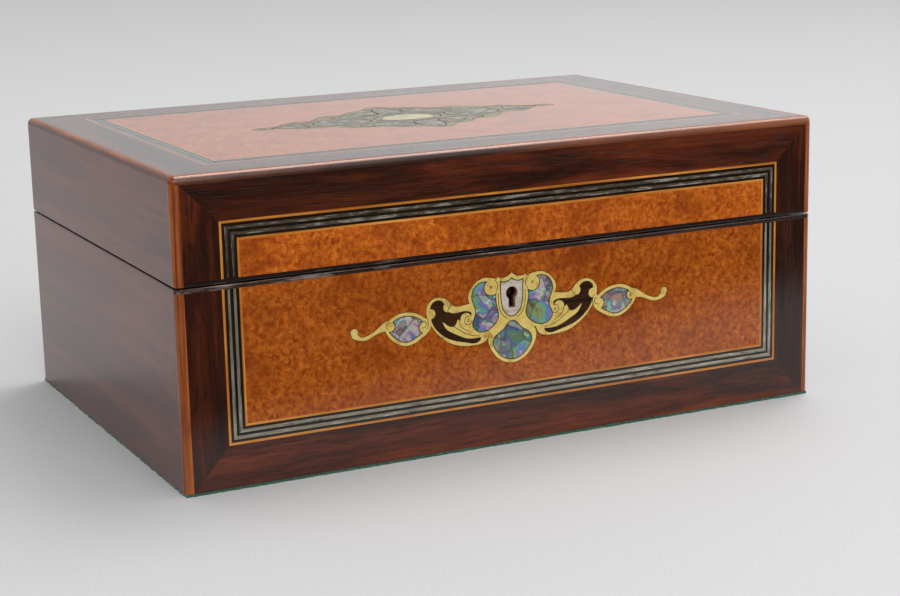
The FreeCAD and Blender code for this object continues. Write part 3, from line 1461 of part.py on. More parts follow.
first_angle = math.atan2(size("second_z - axis_z"), size("second_y - first_y"))
first_phase = math.pi / size("first_pinion_teeth")
second_phase = first_angle + math.pi + math.pi / size("second_pinion_teeth")
first_wheel = wheel(
    "first_wheel_rim", "first_teeth", "first_module", backlash, first_angle, "first_wheel_left",
    "first_wheel_width", "first_y", "axis_z", spokes=5, hub=3.2, rim=1.6,
)
first_pinion = wheel(
    "first_pinion", "first_pinion_teeth", "great_module", backlash, first_phase, "great_left - 0.5",
    "great_wheel_width + 1", "first_y", "axis_z",
)
second_wheel = wheel(
    "second_wheel_rim", "second_teeth", "screw_module", 0.15, math.pi, "fly_x - second_wheel_width / 2",
    "second_wheel_width", "second_y", "second_z",
)
second_pinion = wheel(
    "second_pinion", "second_pinion_teeth", "first_module", backlash, second_phase, "first_wheel_left - 0.5",
    "first_wheel_width + 1", "second_y", "second_z",
)


def governor_arbor(name, left, y, z):
    """An arbor with a pivot in each wall of the frame; left is where its far end lies."""
    inside = ("governor_inner_left + side_play", "governor_inner_right - side_play")
    return [
        rod(name + "_stem", "x", "pivot_radius + 0.6", *inside, (y, z)),
        rod(name + "_pivots", "x", "pivot_radius", left, "governor_right", (y, z)),
    ]


first_arbor = governor_arbor("first_arbor", "great_left - 0.5", "first_y", "axis_z")
second_arbor = governor_arbor("second_arbor", "governor_left", "second_y", "second_z")
node("first_wheel", joined("first_wheel", first_wheel, first_pinion, *first_arbor))
node("second_wheel", joined("second_wheel", second_wheel, second_pinion, *second_arbor))


def endless_screw():
    """A threaded shaft: starts cut round it so that a gap faces the wheel's tooth at rest."""
    gauge = size("screw_module")
    starts = int(size("screw_starts"))
    radius = size("screw_radius")
    pitch = math.pi * gauge
    lead = pitch * starts
    tilt = math.tan(PRESSURE_ANGLE)
    thick = pitch / 2 - 0.3
    tip = radius + ADDENDUM * gauge
    root = radius - DEDENDUM * gauge
    low = root - 0.3
    height = 4 * lead
    core = Part.makeCylinder(root, height + 2, Vector(0, 0, -1))
    helix = Part.makeHelix(lead, height, radius)
    half_low = thick / 2 + (radius - low) * tilt
    half_tip = thick / 2 - (tip - radius) * tilt
    corners = [(low, -half_low), (tip, -half_tip), (tip, half_tip), (low, half_low), (low, -half_low)]
    section = Part.makePolygon([Vector(out, 0, rise) for out, rise in corners])
    thread = Part.Wire(helix).makePipeShell([section], True, True)
    threads = []
    for i in range(starts):
        turn = thread.copy()
        turn.rotate(Vector(), Vector(0, 0, 1), 90 + 360 * i / starts)
        threads.append(turn)
    # a crest lies half a pitch above the wheel's middle on the side that faces the wheel
    drop = 2 * lead - pitch / 2
    return together([core] + threads), drop, height


screw_solid, screw_drop, screw_height = endless_screw()
screw_low_z = f"second_z - {screw_drop + 1:.4f}"
screw_high_z = f"second_z + {screw_height + 1 - screw_drop:.4f}"
screw_spot = Vector(size("fly_x"), size("fly_y"), size("second_z") - screw_drop)
screw_thread = feature("screw_thread", screw_solid, Placement(screw_spot, Rotation()))
fly_at = ("fly_x", "fly_y")
governor_floor = "bed_top + governor_wall"
stem_low_z = (f"{governor_floor} + side_play", f"{screw_low_z} + 0.5")
stem_high_z = (f"{screw_high_z} - 0.5", "cock_low - side_play")
fly_shaft = [
    rod("fly_pivots", "z", "fly_pivot_radius", "bed_top + 1", "cock_top - 0.5", fly_at),
    rod("fly_stem_low", "z", "fly_stem_radius", *stem_low_z, fly_at),
    rod("fly_stem_high", "z", "fly_stem_radius", *stem_high_z, fly_at),
]
fly_vane = block(
    "fly_vane", ("fly_x - fly_radius", "fly_x + fly_radius"),
    ("fly_y - fly_sheet / 2", "fly_y + fly_sheet / 2"), ("fly_low", "fly_low + fly_height"),
)
node("fly", joined("fly", screw_thread, *fly_shaft, fly_vane))

governor_back = "first_y + 7"
left_wall_x = ("governor_left", "governor_inner_left")
right_wall_x = ("governor_inner_right", "governor_right")
governor_wall_z = ("bed_top", "axis_z + 5")
cock_x = ("fly_x - cock_width / 2", "fly_x + cock_width / 2")
governor_parts = [
    block(
        "governor_floor", ("governor_left", "governor_right"), ("riser_front", governor_back),
        ("bed_top", governor_floor),
    ),
    block("governor_wall_left", left_wall_x, ("second_y - 6", governor_back), governor_wall_z),
    block("governor_wall_right", right_wall_x, ("stop_y - 5", governor_back), governor_wall_z),
    block("cock_riser", cock_x, ("riser_front", "riser_back"), ("bed_top", "cock_top")),
    block("cock_arm", cock_x, ("riser_front", "fly_y + cock_width / 2"), ("cock_low", "cock_top")),
]
pivot_hole = "pivot_radius + running_fit"
stop_hole = "stop_rod_radius + running_fit"
fly_hole = "fly_pivot_radius + running_fit"
stop_at = ("stop_y", "stop_z")
across_governor = ("governor_left - 1", "governor_right + 1")
governor_holes = [
    rod("first_pivot_hole", "x", pivot_hole, *across_governor, ("first_y", "axis_z")),
    rod("second_pivot_hole", "x", pivot_hole, *across_governor, ("second_y", "second_z")),
    rod("fly_pivot_hole", "z", fly_hole, "bed_top + 1 - running_fit", "cock_top + 1", fly_at),
    rod("stop_hole", "x", stop_hole, "governor_inner_right - 1", "governor_right + 1", stop_at),
]
governor_whole = joined("governor_whole", *governor_parts)
node("governor_frame", less("governor_frame", governor_whole, *governor_holes, *under_screws))

# Stop lever: a rod through the right partition with an arm beside the fly and a handle outside

handle_x = ("right_wall_right + 4", "right_wall_right + 4 + stop_thickness")
arm_x = ("stop_arm_left", "stop_arm_left + stop_thickness")
handle_top = "stop_z + stop_handle_length"
stop_parts = [
    rod("stop_rod", "x", "stop_rod_radius", "stop_arm_left", handle_x[1], stop_at),
    block("stop_arm", arm_x, ("stop_y - 1.2", "stop_y + 1.2"), ("stop_z", "stop_z + stop_arm_length")),
    block("stop_handle", handle_x, ("stop_y - 2.5", "stop_y + 2.5"), ("stop_z - 3", handle_top)),
    rod("stop_grip", "x", "stop_grip_radius", *handle_x, ("stop_y", handle_top)),
]
node("stop_lever", joined("stop_lever", *stop_parts))

# Partitions, and the glazed dust cover that lies on them

full_y = ("-inner_y", "inner_y")


def partition(name, left, right, hole, at):
    """A board across the box, with a clear hole for the arbor or rod that passes through it."""
    return [
        block(name + "_board", (left, right), full_y, ("floor_z", "cover_low")),
        rod(name + "_hole", "x", f"{hole} + side_play", f"{left} - 1", f"{right} + 1", at),
    ]


left_board = partition(
    "left_partition", "left_wall_left", "left_wall_right", "barrel_arbor_radius", barrel_at
)
right_board = partition(
    "right_partition", "right_wall_left", "right_wall_right", "stop_rod_radius", stop_at
)
cover_plan = {
    "left": "left_wall_left", "right": "right_wall_right",
    "bottom": "cover_gap - inner_y", "top": "inner_y - cover_gap",
}
glass_low = "cover_low + (cover_thickness - glass_thickness) / 2"
glass_edge = "cover_member - glass_tongue"
glass_span = (
    (f"left_wall_left + {glass_edge}", f"right_wall_right - ({glass_edge})"),
    (f"cover_gap - inner_y + {glass_edge}", f"inner_y - cover_gap - ({glass_edge})"),
    (glass_low, f"{glass_low} + glass_thickness"),
)
node("dust_cover_glass", block("dust_cover_glass", *glass_span))
cover_screws = [
    screw(f"cover_screw_{i}", "cover_top - small_head * 0.6", (x, y), "12", small=True)
    for i, (x, y) in enumerate(
        (x, y)
        for x in ("(left_wall_left + left_wall_right) / 2", "(right_wall_left + right_wall_right) / 2")
        for y in ("20 - inner_y", "inner_y - 20")
    )
]
cover_members = framed(
    "cover", "top", cover_plan, "cover_low", {}, {run: "cover_member" for run in RUNS}, "cover_thickness"
)
node("dust_cover_frame", group("dust_cover_frame", [
    less(f"{member.Name}_fitted", member, NODES["dust_cover_glass"], *cover_screws)
    for member in cover_members
]))
node("partitions", group("partitions", [
    less("left_partition", *left_board, stop_peg, *cover_screws),
    less("right_partition", *right_board, *cover_screws),
]))

# Boards, veneers and lippings cut for what is let into them

lock_bed = joined("lock_bed", lock_shell, lock_lip)
base_cuts = base_posts + [lock_bed, keyhole_tool] + base_hinge_rooms + base_hinge_screws + lock_screws
lid_cuts = lid_posts + [link_plate] + lid_hinge_rooms + lid_hinge_screws + link_screws
base_cutter = joined("base_cutter", *base_cuts)
lid_cutter = joined("lid_cutter", *lid_cuts, *lid_top_strips)


def fitted(boards, cutter):
    return [less(f"{board.Name}_fitted", board, cutter) for board in boards.values()]


node("base_walls", group("base_walls", fitted(base_boards, base_cutter)))
node("lid_walls", group("lid_walls", fitted(lid_boards, lid_cutter)))
node("base_bottom_board", less("base_bottom_board", bottom_blank, *bed_screws))
node("lid_top_board", less("lid_top_board", lid_top_blank, lid_cutter))
base_rosewood = base_frame["band"] + [
    less(f"{piece.Name}_cut", piece, joined("base_lipping_cutter_" + piece.Name, *base_cuts[4:]))
    for piece in base_side_veneers + base_lipping
]
lid_rosewood = lid_frame["band"] + top_frame["band"] + [
    less(f"{piece.Name}_cut", piece, joined("lid_lipping_cutter_" + piece.Name, *lid_cuts[4:]))
    for piece in lid_side_veneers + lid_lipping
]
node("base_rosewood_veneers", group("base_rosewood_veneers", base_rosewood))
node("lid_rosewood_veneers", group("lid_rosewood_veneers", lid_rosewood))
node("case_screws", group("case_screws", lock_screws + base_hinge_screws + cover_screws))

# Checks every object and writes each sub-part's file

doc.recompute()
troubled = [thing.Name for thing in doc.Objects if {"Invalid", "Error"} & set(thing.State)]
if troubled:
    raise RuntimeError("objects that did not build: " + ", ".join(troubled))
os.makedirs("parts", exist_ok=True)
for label, thing in NODES.items():
    shape = thing.Shape
    if shape.isNull() or not shape.isValid() or not shape.Solids:
        raise RuntimeError("no valid solid for " + label)
    shape.exportStep(f"parts/{label}.step")
print(len(NODES), "sub-parts written")
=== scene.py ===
"""Finishes, baize and eased inlay of the musical box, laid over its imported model, in metres."""

import math
import random

import bmesh
import bpy
from mathutils import Matrix, Vector


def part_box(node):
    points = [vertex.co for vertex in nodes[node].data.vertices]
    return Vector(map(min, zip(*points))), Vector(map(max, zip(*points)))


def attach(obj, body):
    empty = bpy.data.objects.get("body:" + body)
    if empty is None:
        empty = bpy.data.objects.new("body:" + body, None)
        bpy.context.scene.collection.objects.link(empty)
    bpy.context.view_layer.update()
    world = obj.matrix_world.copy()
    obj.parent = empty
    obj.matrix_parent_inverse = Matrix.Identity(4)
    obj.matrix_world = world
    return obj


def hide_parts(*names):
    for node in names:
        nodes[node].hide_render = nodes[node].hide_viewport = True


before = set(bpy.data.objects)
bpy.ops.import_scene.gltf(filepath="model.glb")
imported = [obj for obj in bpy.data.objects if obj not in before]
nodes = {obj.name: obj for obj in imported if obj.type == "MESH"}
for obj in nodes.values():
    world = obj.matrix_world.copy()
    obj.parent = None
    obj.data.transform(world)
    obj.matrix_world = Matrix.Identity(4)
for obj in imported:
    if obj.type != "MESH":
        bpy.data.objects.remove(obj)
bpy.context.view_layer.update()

MM = 0.001
X, Y, Z = 0, 1, 2
MERGE = 1e-6
FACING = 0.9
EDGING_WIDTH = 3.5 * MM
EDGING_DEPTH = 3.6 * MM


# Colours, as they are read off a screen from 0 to 255


def tone(red, green, blue):
    """A screen colour as the shader's own linear one."""

    def linear(value):
        share = value / 255
        return share / 12.92 if share <= 0.04045 else ((share + 0.055) / 1.055) ** 2.4

    return (linear(red), linear(green), linear(blue), 1.0)


class Finish:
    """A material put together from texture and colour nodes."""

    def __init__(self, name, **sockets):
        self.material = bpy.data.materials.new(name)
        self.material.use_nodes = True
        self.tree = self.material.node_tree
        self.shader = self.tree.nodes["Principled BSDF"]
        for socket, value in sockets.items():
            self.give(socket.replace("_", " "), value)

    def give(self, socket, value):
        """Sets or links one of the shader's sockets, found by its name without capitals."""
        found = next(s for s in self.shader.inputs if s.name.lower() == socket.lower())
        self.feed(found, value)

    def feed(self, socket, value):
        if isinstance(value, bpy.types.NodeSocket):
            self.tree.links.new(value, socket)
        else:
            socket.default_value = value

    def add(self, kind, inputs, **settings):
        made = self.tree.nodes.new("ShaderNode" + kind)
        for name, value in settings.items():
            setattr(made, name, value)
        for socket, value in inputs.items():
            self.feed(made.inputs[socket], value)
        return made

    def spot(self):
        """Where a point lies on the object."""
        return self.add("TexCoord", {}).outputs["Object"]

    def grain(self):
        """Where a point lies in its strip of wood: along the grain, then across it."""
        return self.add("Attribute", {}, attribute_name="grain").outputs["Vector"]

    def stretched(self, vector, scale=(1, 1, 1), turn=(0, 0, 0), shift=(0, 0, 0)):
        sockets = {"Vector": vector, "Scale": scale, "Rotation": turn, "Location": shift}
        return self.add("Mapping", sockets).outputs["Vector"]

    def noise(self, vector, scale, detail=3.0, rough=0.55, twist=0.0):
        sockets = {"Vector": vector, "Scale": scale, "Detail": detail, "Roughness": rough}
        return self.add("TexNoise", {**sockets, "Distortion": twist}).outputs["Fac"]

    def drifted(self, vector, scale, reach):
        """A vector pushed about by a soft noise, so that what reads it curls."""
        push = self.add("TexNoise", {"Vector": vector, "Scale": scale, "Detail": 2.0}).outputs["Color"]
        centred = self.add("VectorMath", {0: push, 1: (0.5, 0.5, 0.5)}, operation="SUBTRACT").outputs[0]
        grown = self.add("VectorMath", {0: centred, "Scale": reach}, operation="SCALE").outputs[0]
        return self.add("VectorMath", {0: vector, 1: grown}, operation="ADD").outputs[0]

    def cells(self, vector, scale, feature="F1", output="Distance"):
        made = self.add("TexVoronoi", {"Vector": vector, "Scale": scale}, feature=feature)
        return made.outputs[output]

    def ramp(self, share, *stops):
        """Colours or greys by share; each stop is a place and a colour or a grey."""
        made = self.add("ValToRGB", {"Fac": share})
        band = made.color_ramp.elements
        while len(band) < len(stops):
            band.new(0.5)
        for element, (place, colour) in zip(band, stops):
            element.position = place
            element.color = colour if isinstance(colour, tuple) else (colour, colour, colour, 1.0)
        return made.outputs["Color"]

    def mixed(self, share, first, second, way="MIX"):
        made = self.add("Mix", {}, data_type="RGBA", blend_type=way)
        self.feed(made.inputs[0], share)
        self.feed(made.inputs[6], first)
        self.feed(made.inputs[7], second)
        return made.outputs[2]

    def sum(self, operation, first, second):
        return self.add("Math", {0: first, 1: second}, operation=operation).outputs[0]

    def within(self, value, low, high, to_low=0.0, to_high=1.0):
        """A value carried from one span to another."""
        sockets = {"Value": value, "From Min": low, "From Max": high, "To Min": to_low, "To Max": to_high}
        return self.add("MapRange", sockets).outputs["Result"]

    def relief(self, height, depth, strength=1.0):
        bump = self.add("Bump", {"Height": height, "Distance": depth, "Strength": strength})
        self.give("normal", bump.outputs["Normal"])


# Polished woods


POLISH = 0.06
WORN_GLOSS = 0.24
UNDER_POLISH = {"coat_weight": 1.0, "coat_roughness": 0.09, "coat_ior": 1.5}
WORN_POLISH = {"coat_weight": 0.3, "coat_roughness": 0.2, "coat_ior": 1.45, "specular_ior_level": 0.2}


def polish(finish, height, depth=0.00003, gloss=POLISH):
    """French polish: a clear gloss, faintly rippled by the wood under it and rubbed by handling."""
    spot = finish.spot()
    rubbed = finish.noise(spot, 22, 4, 0.6)
    finish.give("roughness", finish.within(rubbed, 0.3, 0.75, gloss, gloss + 0.09))
    finish.relief(height, depth, 0.35)
    return finish.material


def burr(name, shift, light):
    """Curled and mottled burr veneer with small dark eyes; light scales its colour."""
    finish = Finish(name, ior=1.5)
    spot = finish.stretched(finish.spot(), shift=shift)
    curled = finish.drifted(finish.drifted(spot, 110, 0.005), 420, 0.0016)
    figure = finish.noise(curled, 430, 5, 0.68, 0.2)
    wood = finish.ramp(
        figure, (0.28, tone(118, 46, 9)), (0.42, tone(158, 73, 17)), (0.53, tone(184, 93, 25)),
        (0.63, tone(203, 112, 34)), (0.76, tone(214, 128, 47)),
    )
    cloud = finish.noise(finish.drifted(spot, 60, 0.006), 62, 5, 0.66, 0.5)
    wood = finish.mixed(finish.within(cloud, 0.46, 0.68, 0.0, 0.72), wood, tone(128, 52, 12))
    eye = finish.cells(finish.drifted(spot, 300, 0.002), 190)
    speck = finish.ramp(eye, (0.0, 1.0), (0.10, 0.75), (0.2, 0.0))
    few = finish.ramp(finish.noise(spot, 95, 1), (0.52, 0.0), (0.64, 1.0))
    dark = finish.sum("MULTIPLY", speck, few)
    wood = finish.mixed(finish.sum("MULTIPLY", dark, 0.7), wood, tone(70, 26, 8))
    fleck = finish.ramp(finish.noise(curled, 1300, 3, 0.6), (0.30, 0.8), (0.52, 0.0))
    wood = finish.mixed(finish.sum("MULTIPLY", fleck, 0.6), wood, tone(104, 44, 12))
    finish.give("base color", finish.mixed(1.0, wood, (light, light, light, 1.0), "MULTIPLY"))
    return polish(finish, figure)


def rosewood(name, ink, brown, red, streak):
    """Dark wood with inky streaks and open pores along the grain."""
    finish = Finish(name, ior=1.5)
    lie = finish.grain()
    wavy = finish.drifted(finish.stretched(lie, (0.5, 1, 1)), 34, 0.0045)
    bands = finish.noise(finish.stretched(wavy, (14, 60, 60)), 1.0, 5, 0.68, 0.4)
    wood = finish.ramp(bands, (0.33, ink), (0.46, brown), (0.58, red), (0.72, streak))
    lines = finish.noise(finish.stretched(wavy, (12, 520, 520)), 1.0, 4, 0.65)
    wood = finish.mixed(finish.within(lines, 0.42, 0.70, 0.0, 0.5), wood, ink)
    pores = finish.noise(finish.stretched(lie, (85, 1500, 1500)), 1.0, 2, 0.5)
    open_pores = finish.ramp(pores, (0.57, 0.0), (0.68, 1.0))
    wood = finish.mixed(finish.sum("MULTIPLY", open_pores, 0.5), wood, tone(16, 9, 6))
    finish.give("base color", wood)
    relief = finish.sum("SUBTRACT", finish.sum("MULTIPLY", lines, 0.4), open_pores)
    return polish(finish, relief, 0.00009)


def lipping(name, dark, plain, worn, wear):
    """Stained lipping with pale painted highlight patches along its arris, fading out toward the right;
    worn is the painted highlight's colour and wear how much of the arris it covers.
    """
    finish = Finish(name, ior=1.5)
    lie = finish.grain()
    fibres = finish.noise(finish.stretched(lie, (20, 700, 700)), 1.0, 3, 0.6)
    wood = finish.ramp(fibres, (0.35, dark), (0.7, plain))
    patches = finish.noise(finish.stretched(lie, (34, 260, 260)), 1.0, 4, 0.7)
    # Painted highlight: pale patches along the arris stand for light caught on the rounded rim, fading
    # toward the right.
    painted_sheen = finish.ramp(patches, (0.62 - wear, 0.0), (0.78 - wear, 1.0))
    rightward = finish.add("SeparateXYZ", {"Vector": finish.spot()}).outputs["X"]
    painted_sheen = finish.sum("MULTIPLY", painted_sheen, finish.within(rightward, -0.04, 0.1, 1.0, 0.06))
    finish.give("base color", finish.mixed(painted_sheen, wood, worn))
    return polish(finish, fibres)


def boxwood(name, deep, plain, pale, gloss=POLISH):
    """Close-grained yellow wood, darker where dirt and polish have gathered."""
    finish = Finish(name, ior=1.5)
    lie = finish.grain()
    fibres = finish.noise(finish.stretched(lie, (18, 900, 900)), 1.0, 3, 0.6)
    wood = finish.ramp(fibres, (0.32, deep), (0.5, plain), (0.68, pale))
    handled = finish.noise(finish.stretched(lie, (38, 120, 120)), 1.0, 3, 0.65)
    wood = finish.mixed(finish.within(handled, 0.46, 0.72, 0.0, 0.75), wood, deep)
    finish.give("base color", wood)
    return polish(finish, fibres, gloss=gloss)


def stained_edge(name, stain, plain, pale):
    """Boxwood stained dark, worn back to its own colour toward the right."""
    finish = Finish(name, ior=1.5, specular_ior_level=0.8)
    lie = finish.grain()
    fibres = finish.noise(finish.stretched(lie, (14, 600, 600)), 1.0, 3, 0.6)
    wood = finish.ramp(fibres, (0.32, plain), (0.68, pale))
    rightward = finish.add("SeparateXYZ", {"Vector": finish.spot()}).outputs["X"]
    patches = finish.noise(finish.stretched(lie, (22, 90, 90)), 1.0, 3, 0.6)
    fading = finish.within(rightward, -0.05, 0.11, 0.95, 0.25)
    kept = finish.sum("ADD", fading, finish.within(patches, 0.3, 0.7, -0.3, 0.3))
    finish.give("base color", finish.mixed(finish.within(kept, 0.0, 1.0), wood, stain))
    return polish(finish, fibres, gloss=WORN_GLOSS)


def ebony(name, black, brown):
    """Close black wood with a little brown along the grain."""
    finish = Finish(name, ior=1.5)
    lie = finish.grain()
    fibres = finish.noise(finish.stretched(lie, (20, 700, 700)), 1.0, 3, 0.6)
    finish.give("base color", finish.ramp(fibres, (0.35, black), (0.7, brown)))
    return polish(finish, fibres)


def carcass_wood(name, dark, plain, pale, gloss):
    """Straight-grained wood of the boards inside, thinly varnished."""
    finish = Finish(name, ior=1.48)
    lie = finish.grain()
    wavy = finish.drifted(lie, 16, 0.006)
    bands = finish.noise(finish.stretched(wavy, (3, 130, 130)), 1.0, 4, 0.6)
    wood = finish.ramp(bands, (0.3, dark), (0.5, plain), (0.72, pale))
    pores = finish.noise(finish.stretched(lie, (70, 1300, 1300)), 1.0, 2)
    open_pores = finish.ramp(pores, (0.58, 0.0), (0.68, 1.0))
    finish.give("base color", finish.mixed(finish.sum("MULTIPLY", open_pores, 0.5), wood, dark))
    worn = finish.noise(finish.spot(), 30, 3)
    finish.give("roughness", finish.within(worn, 0.3, 0.7, gloss, gloss + 0.15))
    finish.relief(finish.sum("SUBTRACT", 1.0, open_pores), 0.00005, 0.5)
    return finish.material


# Metals


def metal(name, colour, tarnish, gloss, brushed=(1.0, 1.0, 1.0), age=0.5):
    """Metal that is clouded by tarnish and finely scratched along its brushing."""
    finish = Finish(name, metallic=1.0)
    spot = finish.spot()
    cloud = finish.noise(spot, 60, 4, 0.65, 0.3)
    stain = finish.within(cloud, 0.42, 0.75, 0.0, age)
    marks = finish.noise(finish.stretched(spot, brushed), 2600, 2, 0.5)
    clean = finish.mixed(finish.within(marks, 0.35, 0.7, 0.0, 0.35), colour, tarnish)
    finish.give("base color", finish.mixed(stain, clean, tarnish))
    finish.give("roughness", finish.within(finish.noise(spot, 140, 4, 0.6), 0.3, 0.75, gloss, gloss + 0.16))
    finish.relief(marks, 0.00001, 0.3)
    return finish.material


def pewter(name, dull, plain, bright):
    """Soft grey lines under the polish, rubbed bright in places and dull in others."""
    finish = Finish(name, metallic=1.0, **UNDER_POLISH)
    lie = finish.grain()
    patches = finish.noise(finish.stretched(lie, (90, 700, 700)), 1.0, 4, 0.7)
    finish.give("base color", finish.ramp(
        patches, (0.34, dull), (0.45, plain), (0.52, plain), (0.62, bright),
    ))
    finish.give("roughness", finish.within(patches, 0.3, 0.7, 0.6, 0.36))
    finish.relief(patches, 0.00008, 0.6)
    return finish.material


def inlay_metal(name, bright, plain, tarnish, metallic, polished):
    """Sheet brass under the polish, with cloudy tarnish and slanting scratches."""
    finish = Finish(name, metallic=metallic, **polished)
    spot = finish.spot()
    cloud = finish.noise(spot, 190, 4, 0.65, 0.4)
    brass = finish.ramp(cloud, (0.28, tarnish), (0.46, plain), (0.66, bright))
    scratch = finish.noise(finish.stretched(spot, (900, 1, 4200), (0, 0.6, 0)), 1.0, 2)
    brass = finish.mixed(finish.within(scratch, 0.5, 0.72, 0.0, 0.5), brass, tarnish)
    finish.give("base color", brass)
    finish.give("roughness", finish.within(cloud, 0.3, 0.7, 0.52, 0.36))
    finish.relief(finish.sum("ADD", cloud, scratch), 0.00006, 0.5)
    return finish.material


# Shell


def abalone(name, shift, light, polished):
    """Small pieces of rainbow shell fitted side by side, with dark joints."""
    finish = Finish(name, ior=1.6, **polished)
    spot = finish.stretched(finish.spot(), shift=shift)
    wavy = finish.drifted(finish.drifted(spot, 150, 0.003), 420, 0.0012)
    chip = finish.add("SeparateColor", {"Color": finish.cells(wavy, 125, output="Color")})
    ripple = finish.noise(finish.drifted(spot, 110, 0.005), 78, 3, 0.5, 0.9)
    fine = finish.noise(finish.drifted(spot, 300, 0.002), 380, 3, 0.6, 0.8)
    own = finish.within(chip.outputs[0], 0.0, 1.0, -0.15, 0.15)
    play = finish.sum("ADD", own, finish.within(ripple, 0.34, 0.66, 0.12, 0.9))
    play = finish.sum("ADD", play, finish.within(fine, 0.3, 0.7, -0.07, 0.07))
    shell = finish.ramp(
        play, (0.0, tone(106, 90, 60)), (0.14, tone(128, 124, 82)), (0.28, tone(118, 150, 108)),
        (0.39, tone(88, 152, 144)), (0.48, tone(88, 116, 166)), (0.57, tone(128, 112, 164)),
        (0.66, tone(182, 146, 160)), (0.74, tone(180, 178, 164)), (0.81, tone(106, 168, 148)),
        (0.91, tone(112, 112, 144)), (1.0, tone(156, 126, 112)),
    )
    depth = finish.within(chip.outputs[1], 0.0, 1.0, 0.4 * light, light)
    shell = finish.mixed(1.0, shell, finish.ramp(depth, (0.0, 0.0), (1.0, 1.0)), "MULTIPLY")
    glint = finish.ramp(finish.noise(wavy, 210, 2, 0.5, 0.4), (0.63, 0.0), (0.73, 0.8 * light))
    shell = finish.mixed(glint, shell, tone(178, 230, 210))
    joint = finish.ramp(finish.cells(wavy, 125, "DISTANCE_TO_EDGE"), (0.008, 0.6), (0.06, 0.0))
    finish.give("base color", finish.mixed(joint, shell, tone(58, 48, 30)))
    finish.give("roughness", finish.within(ripple, 0.3, 0.7, 0.1, 0.26))
    finish.relief(finish.sum("SUBTRACT", ripple, joint), 0.00008, 0.5)
    return finish.material


def dulled_shell(name):
    """Shell chips of the lid, scratched and dulled by wear to olive, grey and rose."""
    finish = Finish(name, ior=1.6, **WORN_POLISH)
    spot = finish.spot()
    wavy = finish.drifted(spot, 260, 0.003)
    chip = finish.add("SeparateColor", {"Color": finish.cells(wavy, 210, output="Color")})
    cloud = finish.noise(finish.drifted(spot, 200, 0.004), 260, 4, 0.65, 0.8)
    play = finish.sum("ADD", finish.within(chip.outputs[0], 0.0, 1.0, -0.2, 0.2), cloud)
    shell = finish.ramp(
        play, (0.26, tone(58, 49, 32)), (0.38, tone(106, 97, 64)), (0.47, tone(118, 132, 118)),
        (0.55, tone(152, 131, 130)), (0.64, tone(130, 128, 92)), (0.76, tone(176, 168, 140)),
    )
    joint = finish.ramp(finish.cells(wavy, 210, "DISTANCE_TO_EDGE"), (0.02, 0.8), (0.09, 0.0))
    finish.give("base color", finish.mixed(joint, shell, tone(40, 33, 20)))
    finish.give("roughness", finish.within(cloud, 0.3, 0.7, 0.3, 0.5))
    finish.relief(finish.sum("SUBTRACT", cloud, joint), 0.00012, 0.6)
    return finish.material


def pearl(name):
    """Pale mother-of-pearl with soft rose and green clouds and fine growth lines."""
    finish = Finish(name, ior=1.6, **UNDER_POLISH)
    spot = finish.spot()
    cloud = finish.noise(finish.drifted(spot, 120, 0.004), 130, 3, 0.6, 0.8)
    shell = finish.ramp(
        cloud, (0.28, tone(150, 146, 128)), (0.45, tone(188, 178, 160)), (0.58, tone(206, 188, 178)),
        (0.72, tone(170, 174, 160)),
    )
    lines = finish.noise(finish.stretched(spot, (300, 300, 1400), (0, 0.5, 0)), 1.0, 2)
    shell = finish.mixed(finish.within(lines, 0.4, 0.7, 0.0, 0.35), shell, tone(126, 116, 98))
    finish.give("base color", shell)
    finish.give("roughness", finish.within(cloud, 0.3, 0.7, 0.14, 0.28))
    finish.relief(lines, 0.00003, 0.4)
    return finish.material


def joint_wax(name):
    """Dark wax and dirt in the joints round the inlay."""
    finish = Finish(name, ior=1.45, specular_ior_level=0.12)
    speck = finish.noise(finish.spot(), 1500, 3)
    finish.give("base color", finish.ramp(speck, (0.3, tone(22, 14, 8)), (0.7, tone(50, 36, 20))))
    finish.give("roughness", finish.within(speck, 0.3, 0.7, 0.35, 0.6))
    finish.relief(speck, 0.00004, 0.5)
    return finish.material


def wool(name):
    """Napped green baize."""
    finish = Finish(name, sheen_weight=0.35, sheen_roughness=0.5)
    spot = finish.spot()
    nap = finish.noise(finish.drifted(spot, 500, 0.0015), 1500, 4, 0.7)
    cloth = finish.ramp(nap, (0.3, tone(16, 50, 36)), (0.55, tone(34, 92, 66)), (0.75, tone(66, 128, 96)))
    faded = finish.noise(spot, 45, 3)
    cloth = finish.mixed(finish.within(faded, 0.45, 0.75, 0.0, 0.4), cloth, tone(30, 70, 56))
    finish.give("base color", cloth)
    finish.give("roughness", finish.within(nap, 0.3, 0.7, 0.95, 0.8))
    finish.relief(nap, 0.0003, 0.9)
    return finish.material


def clear_glass(name):
    """A thin old pane, faintly green and a little dusty."""
    finish = Finish(name, transmission_weight=1.0, ior=1.46)
    dust = finish.noise(finish.spot(), 35, 5, 0.65)
    finish.give("base color", finish.ramp(dust, (0.35, tone(244, 250, 247)), (0.8, tone(236, 243, 238))))
    finish.give("roughness", finish.within(dust, 0.45, 0.85, 0.01, 0.12))
    finish.relief(dust, 0.00005, 0.15)
    return finish.material


